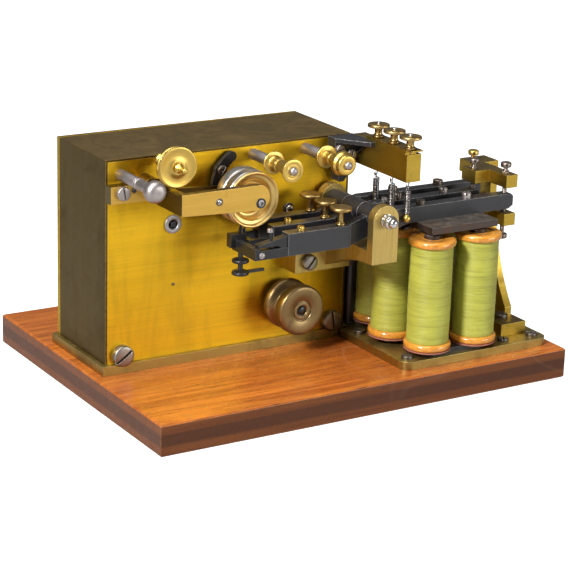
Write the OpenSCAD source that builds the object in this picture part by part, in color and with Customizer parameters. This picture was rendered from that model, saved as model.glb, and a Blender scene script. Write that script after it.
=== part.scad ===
/* [Base board] */
// Length of the base board, left to right
base_l = 340; // [330:2:380]
// Depth of the base board, front to back
base_d = 256; // [250:2:300]
// Thickness of the base board
base_h = 23; // [18:1:32]
// Chamfer along the edges of the base board
base_chamfer = 1.2; // [0.5:0.1:3]

/* [Clockwork case] */
// Gap between the left end of the base board and the case
case_inset = 10; // [8:1:14]
// Width of the case, left to right
case_w = 198; // [196:1:204]
// Depth of the case over its two brass plates
case_d = 77; // [74:1:90]
// Height of the case's top above the lever axis
case_rise = 44.5; // [42:0.5:50]
// Distance of the front plate's face in front of the base board's centre line
case_front = 26; // [22:1:30]
// Thickness of the brass front and back plates
plate_t = 4; // [3.5:0.1:5]
// Thickness of the folded sheet cover
cover_t = 1.6; // [1:0.1:2]
// Thickness of the brass foot plate
foot_t = 7; // [5:0.5:10]
// Margin of the foot plate around the case
foot_margin = 3; // [1:0.5:5]
// Radius of the pillars that space the plates
pillar_r = 5; // [4:0.5:6]
// Head diameter of the two large plate screws
plate_screw_d = 15.5; // [12:0.5:17]
// Height of the two large plate screws above the case's foot
plate_screw_h = 6; // [9:0.5:12]

/* [Wheel train] */
// Tooth module of the wheels for a lever axis at no height, and its gain per millimetre
module_base = 0.4265; // [0.4:0.0005:0.45]
// Thickness of each wheel
wheel_t = 2.5; // [1.5:0.1:3]
// Length of each pinion
pinion_l = 6; // [5:0.5:7]
// Height of the drive pulley's axis above the base board
drive_h = 35; // [34:0.5:37]
// Distance of the drive pulley's axis from the right end of the case
drive_inset = 54.7; // [54:0.1:56]
// Radius of the mainspring barrel
barrel_r = 32; // [26:1:35]
// Depth of the mainspring barrel
barrel_l = 30; // [24:1:32]
// Width of a fly vane of the governor, from its arbor out
fly_r = 13; // [8:1:15]

/* [Drive pulley] */
// Outer diameter of the pulley's flanges
pulley_d = 37; // [34:0.5:40]
// Diameter of the pulley's neck
pulley_neck_d = 25; // [18:1:28]
// Length of the pulley
pulley_l = 26; // [22:1:30]
// Gap between the front plate and the pulley
pulley_gap = 4; // [2:0.5:8]
// Diameter of the drive shaft
drive_shaft_d = 7.5; // [6:0.5:9]

/* [Tape roller and its frame] */
// Distance from the lever axis to the tape roller's axis
style_reach = 86.3; // [84:0.1:88]
// Height of the tape roller's axis above the lever axis
roller_rise = 16; // [15:0.5:18]
// Diameter of the tape roller
roller_d = 40; // [36:0.5:42]
// Width of the tape roller
roller_w = 20; // [18:0.5:21]
// Distance from the front plate to the near face of the roller
roller_gap = 21; // [20.5:0.5:23]
// Axial gap on each side of the roller
roller_side_gap = 4; // [3:0.5:4.5]
// Thickness of the frame's front bar
frame_bar_t = 5; // [4:0.5:6]
// Height of the frame's front bar
frame_bar_h = 15; // [13:0.5:16]
// Diameter of the roller's axle
roller_axle_d = 5; // [4:0.5:6]
// Distance from the case's left end to the frame's pivot
frame_pivot_inset = 30; // [29:0.5:32]
// Height of the frame's pivot above the roller's axis
frame_pivot_rise = 9; // [8:0.5:10]
// Diameter of the flanged disc that guides the tape
disc_d = 29; // [24:0.5:30]

/* [Tape posts] */
// Height of the left tape post above the roller's axis
left_post_rise = 17.6; // [17:0.1:20]
// Height of the two right tape posts above the roller's axis
right_post_rise = 21.2; // [20.5:0.1:22]
// Radius of the steel posts
post_r = 4; // [3.5:0.1:4.2]
// Radius of the flanges of the small tape rollers
guide_flange_r = 8.3; // [7:0.1:8.6]

/* [Levers] */
// Distance from the case's right end to the lever axis
lever_axis_inset = 18; // [17:0.5:20]
// Height of the lever axis above the base board
lever_axis_h = 110.5; // [110:0.5:111.5]
// Distance from the front plate to the first lever's middle
lever_first = 20; // [19.5:0.5:21]
// Distance between the middles of neighbouring levers
lever_pitch = 20; // [19.5:0.1:20.5]
// Thickness of a lever arm
lever_t = 9; // [7:0.5:9.5]
// Length of the long levers from the axis to their right end
lever_reach = 121; // [119:1:122]
// How much shorter the middle lever is
mid_lever_cut = 16; // [14:1:18]
// Diameter of the lever hubs
hub_d = 14; // [12:0.5:15]
// Diameter of the steel lever axle
axle_d = 6; // [5:0.5:7]
// Tilt of a lever from the upper to the lower stop, in degrees
lever_travel = 0.8; // [0.5:0.1:0.9]

/* [Electromagnets] */
// Diameter of the coil end flanges
coil_d = 34.4; // [32:0.2:35]
// Distance from the top of a coil to the underside of its armature
coil_drop = 4; // [3:0.5:8]
// Thickness of a coil flange
flange_t = 5.2; // [3:0.2:6]
// Diameter of the silk-covered winding
winding_d = 31; // [26:0.5:32]
// Distance between the two coils of a pair
coil_pitch = 40.5; // [38:0.5:42]
// Distance from the lever axis to the first coil of the front pair
coil_first = 41; // [40:0.5:42]
// Diameter of the iron cores
core_d = 12; // [9:0.5:13]
// Thickness of the iron yoke bars
yoke_t = 4; // [3:0.5:5]
// Thickness of the washer under each coil
washer_t = 0.8; // [0.5:0.1:1]
// Air gap between a core and its armature at rest
air_gap = 1.7; // [1.6:0.1:2]
// Thickness of the armatures
armature_t = 5; // [4:0.5:6]
// Thickness of the brass plate under the magnets
magnet_plate_t = 6.2; // [5:0.2:8]

/* [Springs] */
// Wire diameter of the lever springs
wire_d = 0.7; // [0.5:0.05:0.75]
// Mean diameter of the curls
curl_d = 4; // [3.6:0.1:4.2]
// Number of curls in each spring
curls = 15; // [10:1:15]

/* [Clearances] */
// Radial clearance of a shaft in its bearing
running_fit = 0.04; // [0.02:0.01:0.06]
// Radial clearance of a pin or a screw in its hole
seat_fit = 0.03; // [0.02:0.01:0.06]
// End clearance between turning pieces
end_gap = 0.5; // [0.3:0.1:0.8]

/* [Hidden] */
$fn = 48;

// Case limits
case_x0 = -base_l / 2 + case_inset;
case_x1 = case_x0 + case_w;
face_y = -case_front;
back_y = face_y + case_d;
case_z0 = base_h + foot_t;
axis_z = base_h + lever_axis_h;
case_z1 = axis_z + case_rise;
case_h = case_z1 - case_z0;
plate_in_y = face_y + plate_t;
back_in_y = back_y - plate_t;

// Train: tooth counts, arbor centres from the drive arbor backwards and onwards
great_n = 64;
second_n = 60;
third_n = 48;
drive_n = 42;
fourth_n = 46;
second_leaves = 8;
third_leaves = 8;
drive_leaves = 12;
fourth_leaves = 12;
fly_leaves = 15;
module_gain = 0.007;
gear_module = module_base + module_gain * lever_axis_h;
function mesh(a, b) = (a + b) * gear_module / 2;
function polar(r, a) = [r * cos(a), r * sin(a)];
third_dir = 170;
second_dir = 136;
barrel_dir = 127.6;
fourth_dir = 87;
drive_c = [case_x1 - drive_inset, base_h + drive_h];
third_c = drive_c + polar(mesh(third_n, drive_leaves), third_dir);
second_c = third_c + polar(mesh(second_n, third_leaves), second_dir);
barrel_c = second_c + polar(mesh(great_n, second_leaves), barrel_dir);
fourth_c = drive_c + polar(mesh(drive_n, fourth_leaves), fourth_dir);
fly_c = fourth_c + polar(mesh(fourth_n, fly_leaves), fourth_dir);
// Depth of each wheel behind the inner face of the front plate
second_wheel_y = plate_in_y + 10;
great_wheel_y = second_wheel_y + wheel_t + 11;
third_wheel_y = great_wheel_y + wheel_t + 5;
drive_wheel_y = third_wheel_y + wheel_t + 8;
fourth_wheel_y = drive_wheel_y + wheel_t + 8;
arbor_r = 2.5;
pivot_r = 1.5;
winding_r = 3.2;
bush_r = 6.7;
fly_bush_r = 4.3;

// Lever axis and the planes across it
axis_x = case_x1 - lever_axis_inset;
function lever_y(i) = face_y - lever_first - (2 - i) * lever_pitch;
lever_top = axis_z + 2.8;
arm_top = axis_z - 4.1;
arm_bottom = axis_z - 20;
arm_x0 = axis_x - 72;
arm_x1 = axis_x - 21;
right_bottom = axis_z - 8.5;
function lever_end(i) = axis_x + lever_reach - (i == 1 ? mid_lever_cut : 0);

// Roller and swing frame
roller_x = axis_x - style_reach;
roller_z = axis_z + roller_rise;
roller_y1 = face_y - roller_gap;
roller_y0 = roller_y1 - roller_w;
rear_leg_y1 = roller_y1 + roller_side_gap + 4;
rear_leg_t = 4;
front_bar_y0 = roller_y0 - roller_side_gap - frame_bar_t;
frame_pivot = [case_x0 + frame_pivot_inset, roller_z + frame_pivot_rise];
frame_z0 = roller_z - 2.5;
frame_left_x = frame_pivot[0] + 2;
cross_t = 7;
cross_h = 13.5;
leg_r = 4.5;
head_pocket = 0.6;
bar_end_c = [roller_x - 2, roller_z + 4];
bar_end_r = 9;
pivot_pin_r = 3;
disc_c = [frame_pivot[0] + 8.4, frame_pivot[1] + 17.8];
spindle_r = 2;
boss_r = 7.5;
block_t = 8;
stud_head_t = 3;
stud_head_d = 9;

// Small tape rollers
post_left_x = case_x0 + 11;
post_mid_x = axis_x - 63.8;
post_right_x = axis_x - 20.3;
post_bare = 27;
guide_l = 28;
guide_core_r = 3;

// Lever bracket
ear_w = 21.2;
ear_t = 7;
ear_front_y = lever_y(0) - lever_pitch / 2 - ear_t;
ear_rear_y = lever_y(2) + lever_pitch / 2 + ear_t;
bracket_foot_x = axis_x - 36;
bracket_foot_t = 17;
beam_bottom = axis_z - 31.5;
beam_top = axis_z - 22.5;
bracket_foot_z = drive_c[1] + pulley_d / 2 + 5.8;
bracket_foot_top = axis_z - 33.2;
bracket_screw = [axis_x - 25.2, (bracket_foot_z + bracket_foot_top) / 2 - 1.1];

// Start lever, an arc around this centre
arc_c = [roller_x + 15.8, roller_z + 1];
arc_r = 29;
arc_w = 7.5;
arc_t = 3;
arc_pivot_a = 150;
arc_first_a = 122;
arc_last_a = 252;
arc_pivot = arc_c + polar(arc_r - arc_w / 2, arc_pivot_a);
arc_y = face_y - 2;

// Magnets: a pair for each lever, set on alternate sides of the lever
pair_x = [axis_x + coil_first, axis_x + coil_first - 6.6, axis_x + coil_first + 3];
pair_y = [lever_y(0) - 16.7, lever_y(1), lever_y(2) + 15];
plate_top = base_h + magnet_plate_t;
yoke_top = plate_top + yoke_t;
coil_z0 = yoke_top + washer_t;
armature_z = right_bottom - armature_t;
coil_h = armature_z - coil_drop - coil_z0;
core_top = armature_z - air_gap;
coil_bore_r = core_d / 2 + 0.3;
magnet_x0 = axis_x + 13;
magnet_x1 = axis_x + 143;
magnet_y0 = pair_y[0] - 13.3;
magnet_y1 = pair_y[2] + coil_d / 2 + 6;
magnet_step_x = case_x1 + foot_margin + 1.5;
magnet_step_y = face_y - foot_margin - 2;

// Stops
post_x = axis_x + 127;
post_t = 6;
post_y = lever_y(2);
post_neck = 9;
post_spread = 27;
post_foot_x = post_x - 16.5;
post_foot_y = [post_y - 54, post_y + 35];
post_foot_t = 9.3;
upper_stop_z = lever_top + 5.8;
upper_stop_t = 9.5;
lower_stop_z = axis_z - 20;
lower_stop_t = 9;
stop_screw_r = 1.8;
stop_bar_w = 10;
mid_block_w = 17;
function stop_x(i) = lever_end(i) - (i == 1 ? 3 : 5);
arm_drop = 0.05;
function lower_tip(i) = right_bottom - (stop_x(i) - axis_x) * sin(lever_travel) - arm_drop;

// Spring beam and the springs, one in front of each lever
beam_x0 = axis_x + 19.5;
beam_w = 12;
beam_z0 = case_z1 - 21;
beam_z1 = case_z1 - 1;
spring_x = beam_x0 + beam_w / 2 - 1.5;
function spring_y(i) = lever_y(i) - lever_t / 2 - 3;
beam_y0 = spring_y(0) - 3.5;
rail_t = 3;
rail_w = 9;
hook_r = 1.5;
ball_r = 2.6;
ball_z = axis_z - 4;
spring_z0 = ball_z + ball_r;
spring_z1 = beam_z0 - 6;
knob_head_t = 2.8;
knob_neck_l = 7.2;
knob_r = 8;
thumb_x = axis_x - 27;
thumb_stem_r = 2.75;
thumb_head_z = axis_z + 6.2;

// Drawing helpers: forward() draws an X-Z outline and grows it towards the front
module forward(y) {
    translate([0, y, 0]) rotate([90, 0, 0]) children();
}
module shaft(c, y, l, r) {
    forward(y) translate([c[0], c[1], 0]) cylinder(h = l, r = r);
}
module turned(c, y, profile) {
    forward(y) translate([c[0], c[1], 0]) rotate_extrude() polygon(profile);
}
module post(x, y, z, h, r) {
    translate([x, y, z]) cylinder(h = h, r = r);
}
module hexagon(c, y, l, r) {
    forward(y) translate([c[0], c[1], 0]) cylinder(h = l, r = r, $fn = 6);
}
module rounded_rect(x0, y0, x1, y1, r) {
    translate([x0 + r, y0 + r]) offset(r = r) square([x1 - x0 - 2 * r, y1 - y0 - 2 * r]);
}
// A cheese-head screw whose head looks towards the front, slot turned by a
module front_screw(c, y, d, l, a) {
    slot_w = d * 0.13;
    difference() {
        shaft(c, y, l, d / 2);
        forward(y - l * 0.55) translate([c[0], c[1], 0]) rotate([0, 0, a])
            translate([-d, -slot_w / 2, 0]) cube([2 * d, slot_w, l]);
    }
}
// A cheese-head screw whose head looks up
module top_screw(x, y, z, d, h, a) {
    slot_w = d * 0.15;
    difference() {
        post(x, y, z, h, d / 2);
        translate([x, y, z + h * 0.5]) rotate([0, 0, a])
            translate([-d, -slot_w / 2, 0]) cube([2 * d, slot_w, h]);
    }
}

// Clockwork helpers: a tooth or a gap of each wheel lies on the line of centres
function tooth(n, r0, r1, a) = [
    polar(r0, a - 119 / n), polar(r1, a - 43 / n), polar(r1, a + 43 / n), polar(r0, a + 119 / n)
];
module gear(c, y, t, n, a) {
    pitch_r = n * gear_module / 2;
    root = pitch_r - 1.15 * gear_module;
    tip = pitch_r + 0.9 * gear_module;
    forward(y) translate([c[0], c[1], 0]) linear_extrude(height = t)
        polygon([for (i = [0 : n - 1]) each tooth(n, root, tip, a + i * 360 / n)]);
}
module arbor(c) {
    shaft(c, back_in_y - end_gap, back_in_y - plate_in_y - 2 * end_gap, arbor_r);
    shaft(c, back_y + 0.5, back_y + 0.5 - plate_in_y + plate_t - 1.5, pivot_r);
}
module wheel_arms(c, y, t, n) {
    rim = n * gear_module / 2 - 4;
    for (i = [0 : 4])
        forward(y + 1) translate([c[0], c[1], 0]) rotate([0, 0, i * 72])
            translate([rim * 0.58, 0, 0]) cylinder(h = t + 2, r = rim * 0.24);
}
module crossed_wheel(c, y, t, n, a) {
    difference() {
        gear(c, y, t, n, a);
        wheel_arms(c, y, t, n);
    }
}
module pinion(c, y, l, n, a) {
    gear(c, y, l, n, a + 180 / n);
}

// Base and case
module base_board() {
    c = base_chamfer;
    color([0.55, 0.24, 0.1]) intersection() {
        translate([-base_l / 2, -base_d / 2, 0]) cube([base_l, base_d, base_h]);
        rotate([90, 0, 90]) translate([0, 0, -base_l]) linear_extrude(height = 2 * base_l)
            polygon(chamfered(base_d / 2, base_h, c));
        rotate([90, 0, 0]) translate([0, 0, -base_d]) linear_extrude(height = 2 * base_d)
            polygon(chamfered(base_l / 2, base_h, c));
    }
}
function chamfered(half, h, c) = [
    [-half + c, 0], [half - c, 0], [half, c], [half, h - c],
    [half - c, h], [-half + c, h], [-half, h - c], [-half, c]
];
module case_foot_plate() {
    color([0.6, 0.52, 0.22]) difference() {
        translate([case_x0 - foot_margin, face_y - foot_margin, base_h])
            cube([case_w + 2 * foot_margin, case_d + 2 * foot_margin, foot_t]);
        for (c = plate_screw_at) shaft(c, face_y, foot_margin + 1, plate_screw_d / 2 + 0.4);
    }
}
plate_screw_at = [
    [case_x0 + 12.9, case_z0 + plate_screw_h], [case_x1 - 11.5, case_z0 + plate_screw_h]
];
pillar_at = [
    plate_screw_at[0], plate_screw_at[1],
    [case_x0 + 12, case_z1 - 14], [case_x1 - 12, case_z1 - 30]
];
screw_r = 3;
module case_front_plate() {
    color([0.85, 0.65, 0.15]) difference() {
        translate([case_x0 + cover_t, face_y, case_z0])
            cube([case_w - 2 * cover_t, plate_t, case_h - cover_t]);
        for (c = plate_screw_at) shaft(c, plate_in_y + 1, plate_t + 2, screw_r + seat_fit);
        shaft(barrel_c, plate_in_y + 1, plate_t + 2, bush_r - 1.5);
        shaft(fly_c, plate_in_y + 1, plate_t + 2, fly_bush_r - 1);
        shaft(drive_c, plate_in_y + 1, plate_t + 2, drive_shaft_d / 2 + running_fit);
        for (c = [second_c, third_c, fourth_c])
            shaft(c, plate_in_y + 1, plate_t, pivot_r + running_fit);
    }
}
module case_back_plate() {
    color([0.8, 0.62, 0.2]) difference() {
        translate([case_x0, back_in_y, case_z0]) cube([case_w, plate_t, case_h]);
        for (c = [second_c, third_c, drive_c, fourth_c, fly_c])
            shaft(c, back_y + 1, plate_t + 2, pivot_r + running_fit);
        shaft(barrel_c, back_y + 1, plate_t + 2, winding_r + running_fit);
    }
}
// One folded sheet: left side, top and right side, between the two plates
module case_cover() {
    color([0.33, 0.29, 0.16]) difference() {
        translate([case_x0, face_y, case_z0]) cube([case_w, case_d - plate_t, case_h]);
        translate([case_x0 + cover_t, face_y - 1, case_z0 - 1])
            cube([case_w - 2 * cover_t, case_d, case_h - cover_t + 1]);
    }
}
module case_pillars() {
    color([0.75, 0.6, 0.25]) {
        for (i = [0, 1]) difference() {
            shaft(pillar_at[i], back_in_y, back_in_y - plate_in_y, pillar_r);
            shaft(pillar_at[i], plate_in_y + 8, 9, screw_r + seat_fit);
        }
        for (i = [2, 3]) shaft(pillar_at[i], back_in_y, back_in_y - plate_in_y, pillar_r);
    }
}
module front_plate_screws() {
    slot_turn = [35, 100];
    color([0.6, 0.6, 0.58]) for (i = [0, 1]) {
        front_screw(plate_screw_at[i], face_y, plate_screw_d, 5, slot_turn[i]);
        shaft(plate_screw_at[i], plate_in_y + 7, plate_t + 7, screw_r);
    }
}

// Bushes on the front plate: the winding bush and the black ring of the fly arbor
module plate_bushes() {
    color([0.55, 0.55, 0.53]) difference() {
        union() {
            shaft(barrel_c, face_y, 1.8, bush_r);
            shaft(barrel_c, plate_in_y, plate_t + 0.5, bush_r - 1.5 - seat_fit);
        }
        shaft(barrel_c, plate_in_y + 1, plate_t + 4, winding_r + running_fit);
    }
    color([0.1, 0.1, 0.1]) difference() {
        union() {
            shaft(fly_c, face_y, 1.5, fly_bush_r);
            shaft(fly_c, plate_in_y, plate_t + 0.5, fly_bush_r - 1 - seat_fit);
        }
        shaft(fly_c, plate_in_y + 1, plate_t + 4, arbor_r + running_fit);
    }
}

// Steel posts for the paper tape
left_post = [post_left_x, roller_z + left_post_rise];
mid_post = [post_mid_x, roller_z + right_post_rise];
right_post = [post_right_x, roller_z + right_post_rise - 0.3];
module tape_posts() {
    color([0.62, 0.6, 0.58]) {
        turned(left_post, face_y, [
            [0, 0], [3.3, 0], [3.3, 26.5], [2.7, 27], [2.7, 28], [3.9, 28.6], [3.9, 43], [4.4, 45],
            [6.6, 47.5], [7.6, 49.6], [7.7, 51.5], [7.1, 53.4], [5.4, 54.9], [3, 55.8], [0, 56]
        ]);
        for (c = [mid_post, right_post]) {
            end_l = guide_l + (c == right_post ? 2 : 0);
            shaft(c, face_y, post_bare, post_r);
            turned(c, face_y - post_bare, [
                [0, 0], [guide_core_r, 0], [guide_core_r, end_l + 1],
                [guide_core_r * 0.7, end_l + 2.2], [0, end_l + 2.6]
            ]);
        }
    }
}
// A small roller with two flanges, running on the thin end of its post
module guide_roller(c, profile) {
    color([0.85, 0.68, 0.28]) difference() {
        turned(c, face_y - post_bare - end_gap, profile);
        shaft(c, face_y, post_bare + guide_l + 12, guide_core_r + running_fit);
    }
}
guide_body = guide_l - 2 * end_gap;
module guide_roller_mid() {
    guide_roller(mid_post, [
        [0, 0], [guide_flange_r, 0], [guide_flange_r, 1.8], [4.7, 2.4], [4.7, guide_body - 2.4],
        [guide_flange_r, guide_body - 1.8], [guide_flange_r, guide_body], [0, guide_body]
    ]);
}
module guide_roller_right() {
    end_l = guide_body + 2;
    guide_roller(right_post, [
        [0, 0], [guide_flange_r, 0], [guide_flange_r, 1.8], [4.4, 2.4], [4.4, end_l - 13],
        [6.4, end_l - 12], [guide_flange_r, end_l - 9], [guide_flange_r + 0.5, end_l - 7.5],
        [guide_flange_r + 0.5, end_l - 5.5], [7.4, end_l - 4.2], [7.4, end_l - 1], [6.4, end_l], [0, end_l]
    ]);
}

// Block that carries the swing frame, with its pivot stud
module pivot_block() {
    block_h = 12.5;
    color([0.8, 0.64, 0.25]) {
        difference() {
            union() {
                translate([case_x0, face_y - block_t, frame_pivot[1] - 10])
                    cube([frame_pivot_inset + 4, block_t, block_h]);
                shaft(frame_pivot, face_y, face_y - rear_leg_y1 - 0.3, boss_r);
                shaft(frame_pivot, face_y, face_y - rear_leg_y1 + rear_leg_t + 0.3, pivot_pin_r);
            }
            shaft(block_screw, face_y + 1, block_t + 2, 2 + seat_fit);
        }
    }
}
block_screw = [case_x0 + 8.8, frame_pivot[1] - 2.5];
// The U-shaped frame: rear leg, cross piece, front bar and the arm of the disc
module swing_frame() {
    bar_top = frame_z0 + frame_bar_h;
    rear_y0 = rear_leg_y1 - rear_leg_t;
    color([0.82, 0.66, 0.25]) difference() {
        union() {
            forward(rear_leg_y1) linear_extrude(height = rear_leg_t) union() {
                translate(frame_pivot) circle(r = boss_r);
                translate([roller_x, roller_z]) circle(r = leg_r);
                polygon([
                    frame_pivot + [0, -boss_r + 1], [roller_x, roller_z - leg_r],
                    [roller_x, roller_z + leg_r], frame_pivot + [0, 0]
                ]);
                translate([frame_left_x, frame_z0]) square([cross_t + 2, cross_h - 3]);
                translate([disc_c[0] - 2.5, frame_pivot[1]]) square([5, disc_c[1] - frame_pivot[1]]);
                translate(disc_c) circle(r = 4);
            }
            translate([frame_left_x, front_bar_y0 + 1, frame_z0])
                cube([cross_t, rear_y0 - front_bar_y0, cross_h]);
            forward(front_bar_y0 + frame_bar_t) linear_extrude(height = frame_bar_t) union() {
                polygon([
                    [frame_left_x, frame_z0], [bar_end_c[0], bar_end_c[1] - bar_end_r],
                    [bar_end_c[0], bar_end_c[1] + bar_end_r], [frame_left_x, bar_top]
                ]);
                translate(bar_end_c) circle(r = bar_end_r);
            }
        }
        shaft(frame_pivot, rear_leg_y1 + 1, rear_leg_t + 2, pivot_pin_r + running_fit);
        shaft(frame_pivot, rear_y0, 0.3 + stud_head_t + head_pocket, stud_head_d / 2 + head_pocket);
        shaft([roller_x, roller_z], rear_leg_y1 + 1, 60, roller_axle_d / 2 + seat_fit);
        shaft(disc_c, rear_leg_y1 + 1, rear_leg_t + 2, spindle_r + seat_fit);
    }
}
disc_y1 = rear_leg_y1 - rear_leg_t - end_gap;
disc_hub_l = 10;
disc_t = 5;
module frame_spindles() {
    color([0.5, 0.5, 0.5]) {
        shaft([roller_x, roller_z], rear_leg_y1 + 0.5, rear_leg_y1 - front_bar_y0 + 1.5, roller_axle_d / 2);
        turned(disc_c, rear_leg_y1 + 8, [
            [0, 0], [3.4, 0.3], [4.4, 1.2], [4.4, 3.4], [3.4, 4.6], [2.6, 5.2], [2.6, 8], [spindle_r, 8],
            [spindle_r, 8 + rear_leg_t + disc_hub_l + disc_t + 2 * end_gap],
            [3, 8 + rear_leg_t + disc_hub_l + disc_t + 2 * end_gap],
            [3, 10.5 + rear_leg_t + disc_hub_l + disc_t + 2 * end_gap],
            [1.4, 12.5 + rear_leg_t + disc_hub_l + disc_t + 2 * end_gap],
            [1.4, 17 + rear_leg_t + disc_hub_l + disc_t + 2 * end_gap],
            [0, 18 + rear_leg_t + disc_hub_l + disc_t + 2 * end_gap]
        ]);
    }
}
// Tape roller: two grooves for the styles in its tread, and a dished face
module tape_roller() {
    r = roller_d / 2;
    groove = 0.7;
    color([0.85, 0.72, 0.4]) difference() {
        turned([roller_x, roller_z], roller_y1, [
            [0, 0], [r - 1, 0], [r, 1], [r, roller_w / 2 - 6], [r - groove, roller_w / 2 - 5.5],
            [r - groove, roller_w / 2 - 4.5], [r, roller_w / 2 - 4], [r, roller_w / 2 - 1],
            [r - groove, roller_w / 2 - 0.5], [r - groove, roller_w / 2 + 0.5], [r, roller_w / 2 + 1],
            [r, roller_w / 2 + 4], [r - groove, roller_w / 2 + 4.5], [r - groove, roller_w / 2 + 5.5],
            [r, roller_w / 2 + 6], [r, roller_w - 0.6], [r - 0.6, roller_w], [r - 1.8, roller_w],
            [r - 2.4, roller_w - 2], [r - 5.5, roller_w - 6], [6.5, roller_w - 6.5],
            [6, roller_w - 1], [0, roller_w - 1]
        ]);
        shaft([roller_x, roller_z], roller_y1 + 1, roller_w + 2, roller_axle_d / 2 + running_fit);
    }
}
module disc_roller() {
    color([0.85, 0.68, 0.25]) difference() {
        turned(disc_c, disc_y1, [
            [0, 0], [5, 0], [5, disc_hub_l - 2], [disc_d / 2 - 1, disc_hub_l - 0.8],
            [disc_d / 2 - 0.6, disc_hub_l], [disc_d / 2 - 0.6, disc_hub_l + 1],
            [disc_d / 2 - 1.6, disc_hub_l + 1.6], [disc_d / 2 - 1.6, disc_hub_l + disc_t - 2],
            [disc_d / 2, disc_hub_l + disc_t - 1.4], [disc_d / 2, disc_hub_l + disc_t - 0.4],
            [disc_d / 2 - 0.4, disc_hub_l + disc_t], [0, disc_hub_l + disc_t]
        ]);
        shaft(disc_c, disc_y1 + 1, disc_hub_l + disc_t + 2, spindle_r + running_fit);
    }
}

// Crescent lever that starts and stops the clockwork
module start_stop_lever() {
    mid_r = arc_r - arc_w / 2;
    color([0.07, 0.07, 0.07]) difference() {
        forward(arc_y) linear_extrude(height = arc_t) union() {
            difference() {
                intersection() {
                    translate(arc_c) circle(r = arc_r, $fn = 180);
                    polygon([
                        arc_c, arc_c + polar(60, arc_first_a), arc_c + polar(60, 165),
                        arc_c + polar(60, 205), arc_c + polar(60, arc_last_a)
                    ]);
                }
                translate(arc_c) circle(r = arc_r - arc_w, $fn = 180);
            }
            for (a = [arc_first_a, arc_last_a]) translate(arc_c + polar(mid_r, a)) circle(r = arc_w / 2);
            translate(arc_pivot) circle(r = arc_w / 2 + 1);
        }
        shaft(arc_pivot, arc_y + 1, arc_t + 2, 2 + running_fit);
    }
}

// Steel screws that hold the brackets and the pivoted pieces to the plate
block_face_y = face_y - block_t;
casting_t = 10;
casting_screws = [[axis_x + 2.6, case_z1 - 8.6], [axis_x + 12.2, case_z1 - 13.2]];
module mounting_screws() {
    color([0.62, 0.61, 0.58]) {
        front_screw(block_screw, block_face_y, 10, 3.5, 85);
        shaft(block_screw, face_y, block_t, 2);
        front_screw(frame_pivot, rear_leg_y1 - rear_leg_t - 0.3, stud_head_d, stud_head_t, 20);
        front_screw(bracket_screw, face_y - bracket_foot_t, 11.5, 4.5, 50);
        shaft(bracket_screw, face_y, bracket_foot_t, 3);
        for (c = casting_screws) {
            front_screw(c, face_y - casting_t, 7.5, 3, 15);
            shaft(c, face_y, casting_t, 2);
        }
        shaft(arc_pivot, face_y, arc_t + 2.3, 2);
        front_screw(arc_pivot, face_y - arc_t - 2.3, 7, 2.5, 60);
    }
}

// Winding arbor with its ratchet wheel and square end
module winding_arbor() {
    square_w = 3.6;
    square_l = 3.5;
    shaft_end = face_y + 2;
    ratchet_n = 24;
    color([0.5, 0.5, 0.5]) {
        shaft(barrel_c, back_y + 0.5, back_y + 0.5 - shaft_end, winding_r);
        forward(shaft_end) translate([barrel_c[0] - square_w / 2, barrel_c[1] - square_w / 2, 0])
            cube([square_w, square_w, square_l]);
        forward(plate_in_y + 5) translate([barrel_c[0], barrel_c[1], 0]) linear_extrude(height = 2.5)
            polygon([for (i = [0 : ratchet_n - 1]) each [
                polar(11, i * 360 / ratchet_n), polar(13.5, (i + 0.85) * 360 / ratchet_n)
            ]]);
    }
}
module mainspring_barrel() {
    drum_y = great_wheel_y + barrel_l;
    wall = 2;
    color([0.75, 0.58, 0.2]) difference() {
        union() {
            gear(barrel_c, great_wheel_y + wheel_t, wheel_t, great_n, barrel_dir + 180);
            shaft(barrel_c, drum_y, barrel_l - wheel_t + 1, barrel_r);
        }
        shaft(barrel_c, drum_y - wall, barrel_l - wheel_t - 2 * wall + 1, barrel_r - wall);
        shaft(barrel_c, drum_y + 1, barrel_l + 3, winding_r + running_fit);
    }
}
// The coiled mainspring, a flat strip wound from the arbor to the drum's wall
module mainspring() {
    turns = 7;
    steps = turns * 20;
    r0 = winding_r + 1;
    r1 = barrel_r - 3.2;
    strip = 0.7;
    function spiral(i) = r0 + (r1 - r0) * i / steps;
    color([0.3, 0.32, 0.38]) forward(great_wheel_y + barrel_l - 3.5)
        translate([barrel_c[0], barrel_c[1], 0]) linear_extrude(height = barrel_l - wheel_t - 7)
            polygon(concat(
                [for (i = [0 : steps]) polar(spiral(i), i * 18)],
                [for (i = [steps : -1 : 0]) polar(spiral(i) + strip, i * 18)]
            ));
}
module second_arbor() {
    color([0.78, 0.62, 0.28]) {
        arbor(second_c);
        crossed_wheel(second_c, second_wheel_y + wheel_t, wheel_t, second_n, second_dir + 180);
        pinion(second_c, great_wheel_y + wheel_t / 2 + pinion_l / 2, pinion_l, second_leaves, barrel_dir);
    }
}
module third_arbor() {
    color([0.78, 0.62, 0.28]) {
        arbor(third_c);
        crossed_wheel(third_c, third_wheel_y + wheel_t, wheel_t, third_n, third_dir + 180);
        pinion(third_c, second_wheel_y + wheel_t / 2 + pinion_l / 2, pinion_l, third_leaves, second_dir);
    }
}
module drive_arbor() {
    color([0.55, 0.55, 0.53]) {
        shaft(drive_c, plate_in_y + 6, 6 + plate_t + pulley_gap + pulley_l - 2, drive_shaft_d / 2);
        shaft(drive_c, back_in_y - end_gap, back_in_y - plate_in_y - 4, arbor_r);
        shaft(drive_c, back_y + 0.5, plate_t + 4, pivot_r);
        crossed_wheel(drive_c, drive_wheel_y + wheel_t, wheel_t, drive_n, fourth_dir);
        pinion(drive_c, third_wheel_y + wheel_t / 2 + pinion_l / 2, pinion_l, drive_leaves, third_dir);
    }
}
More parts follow.
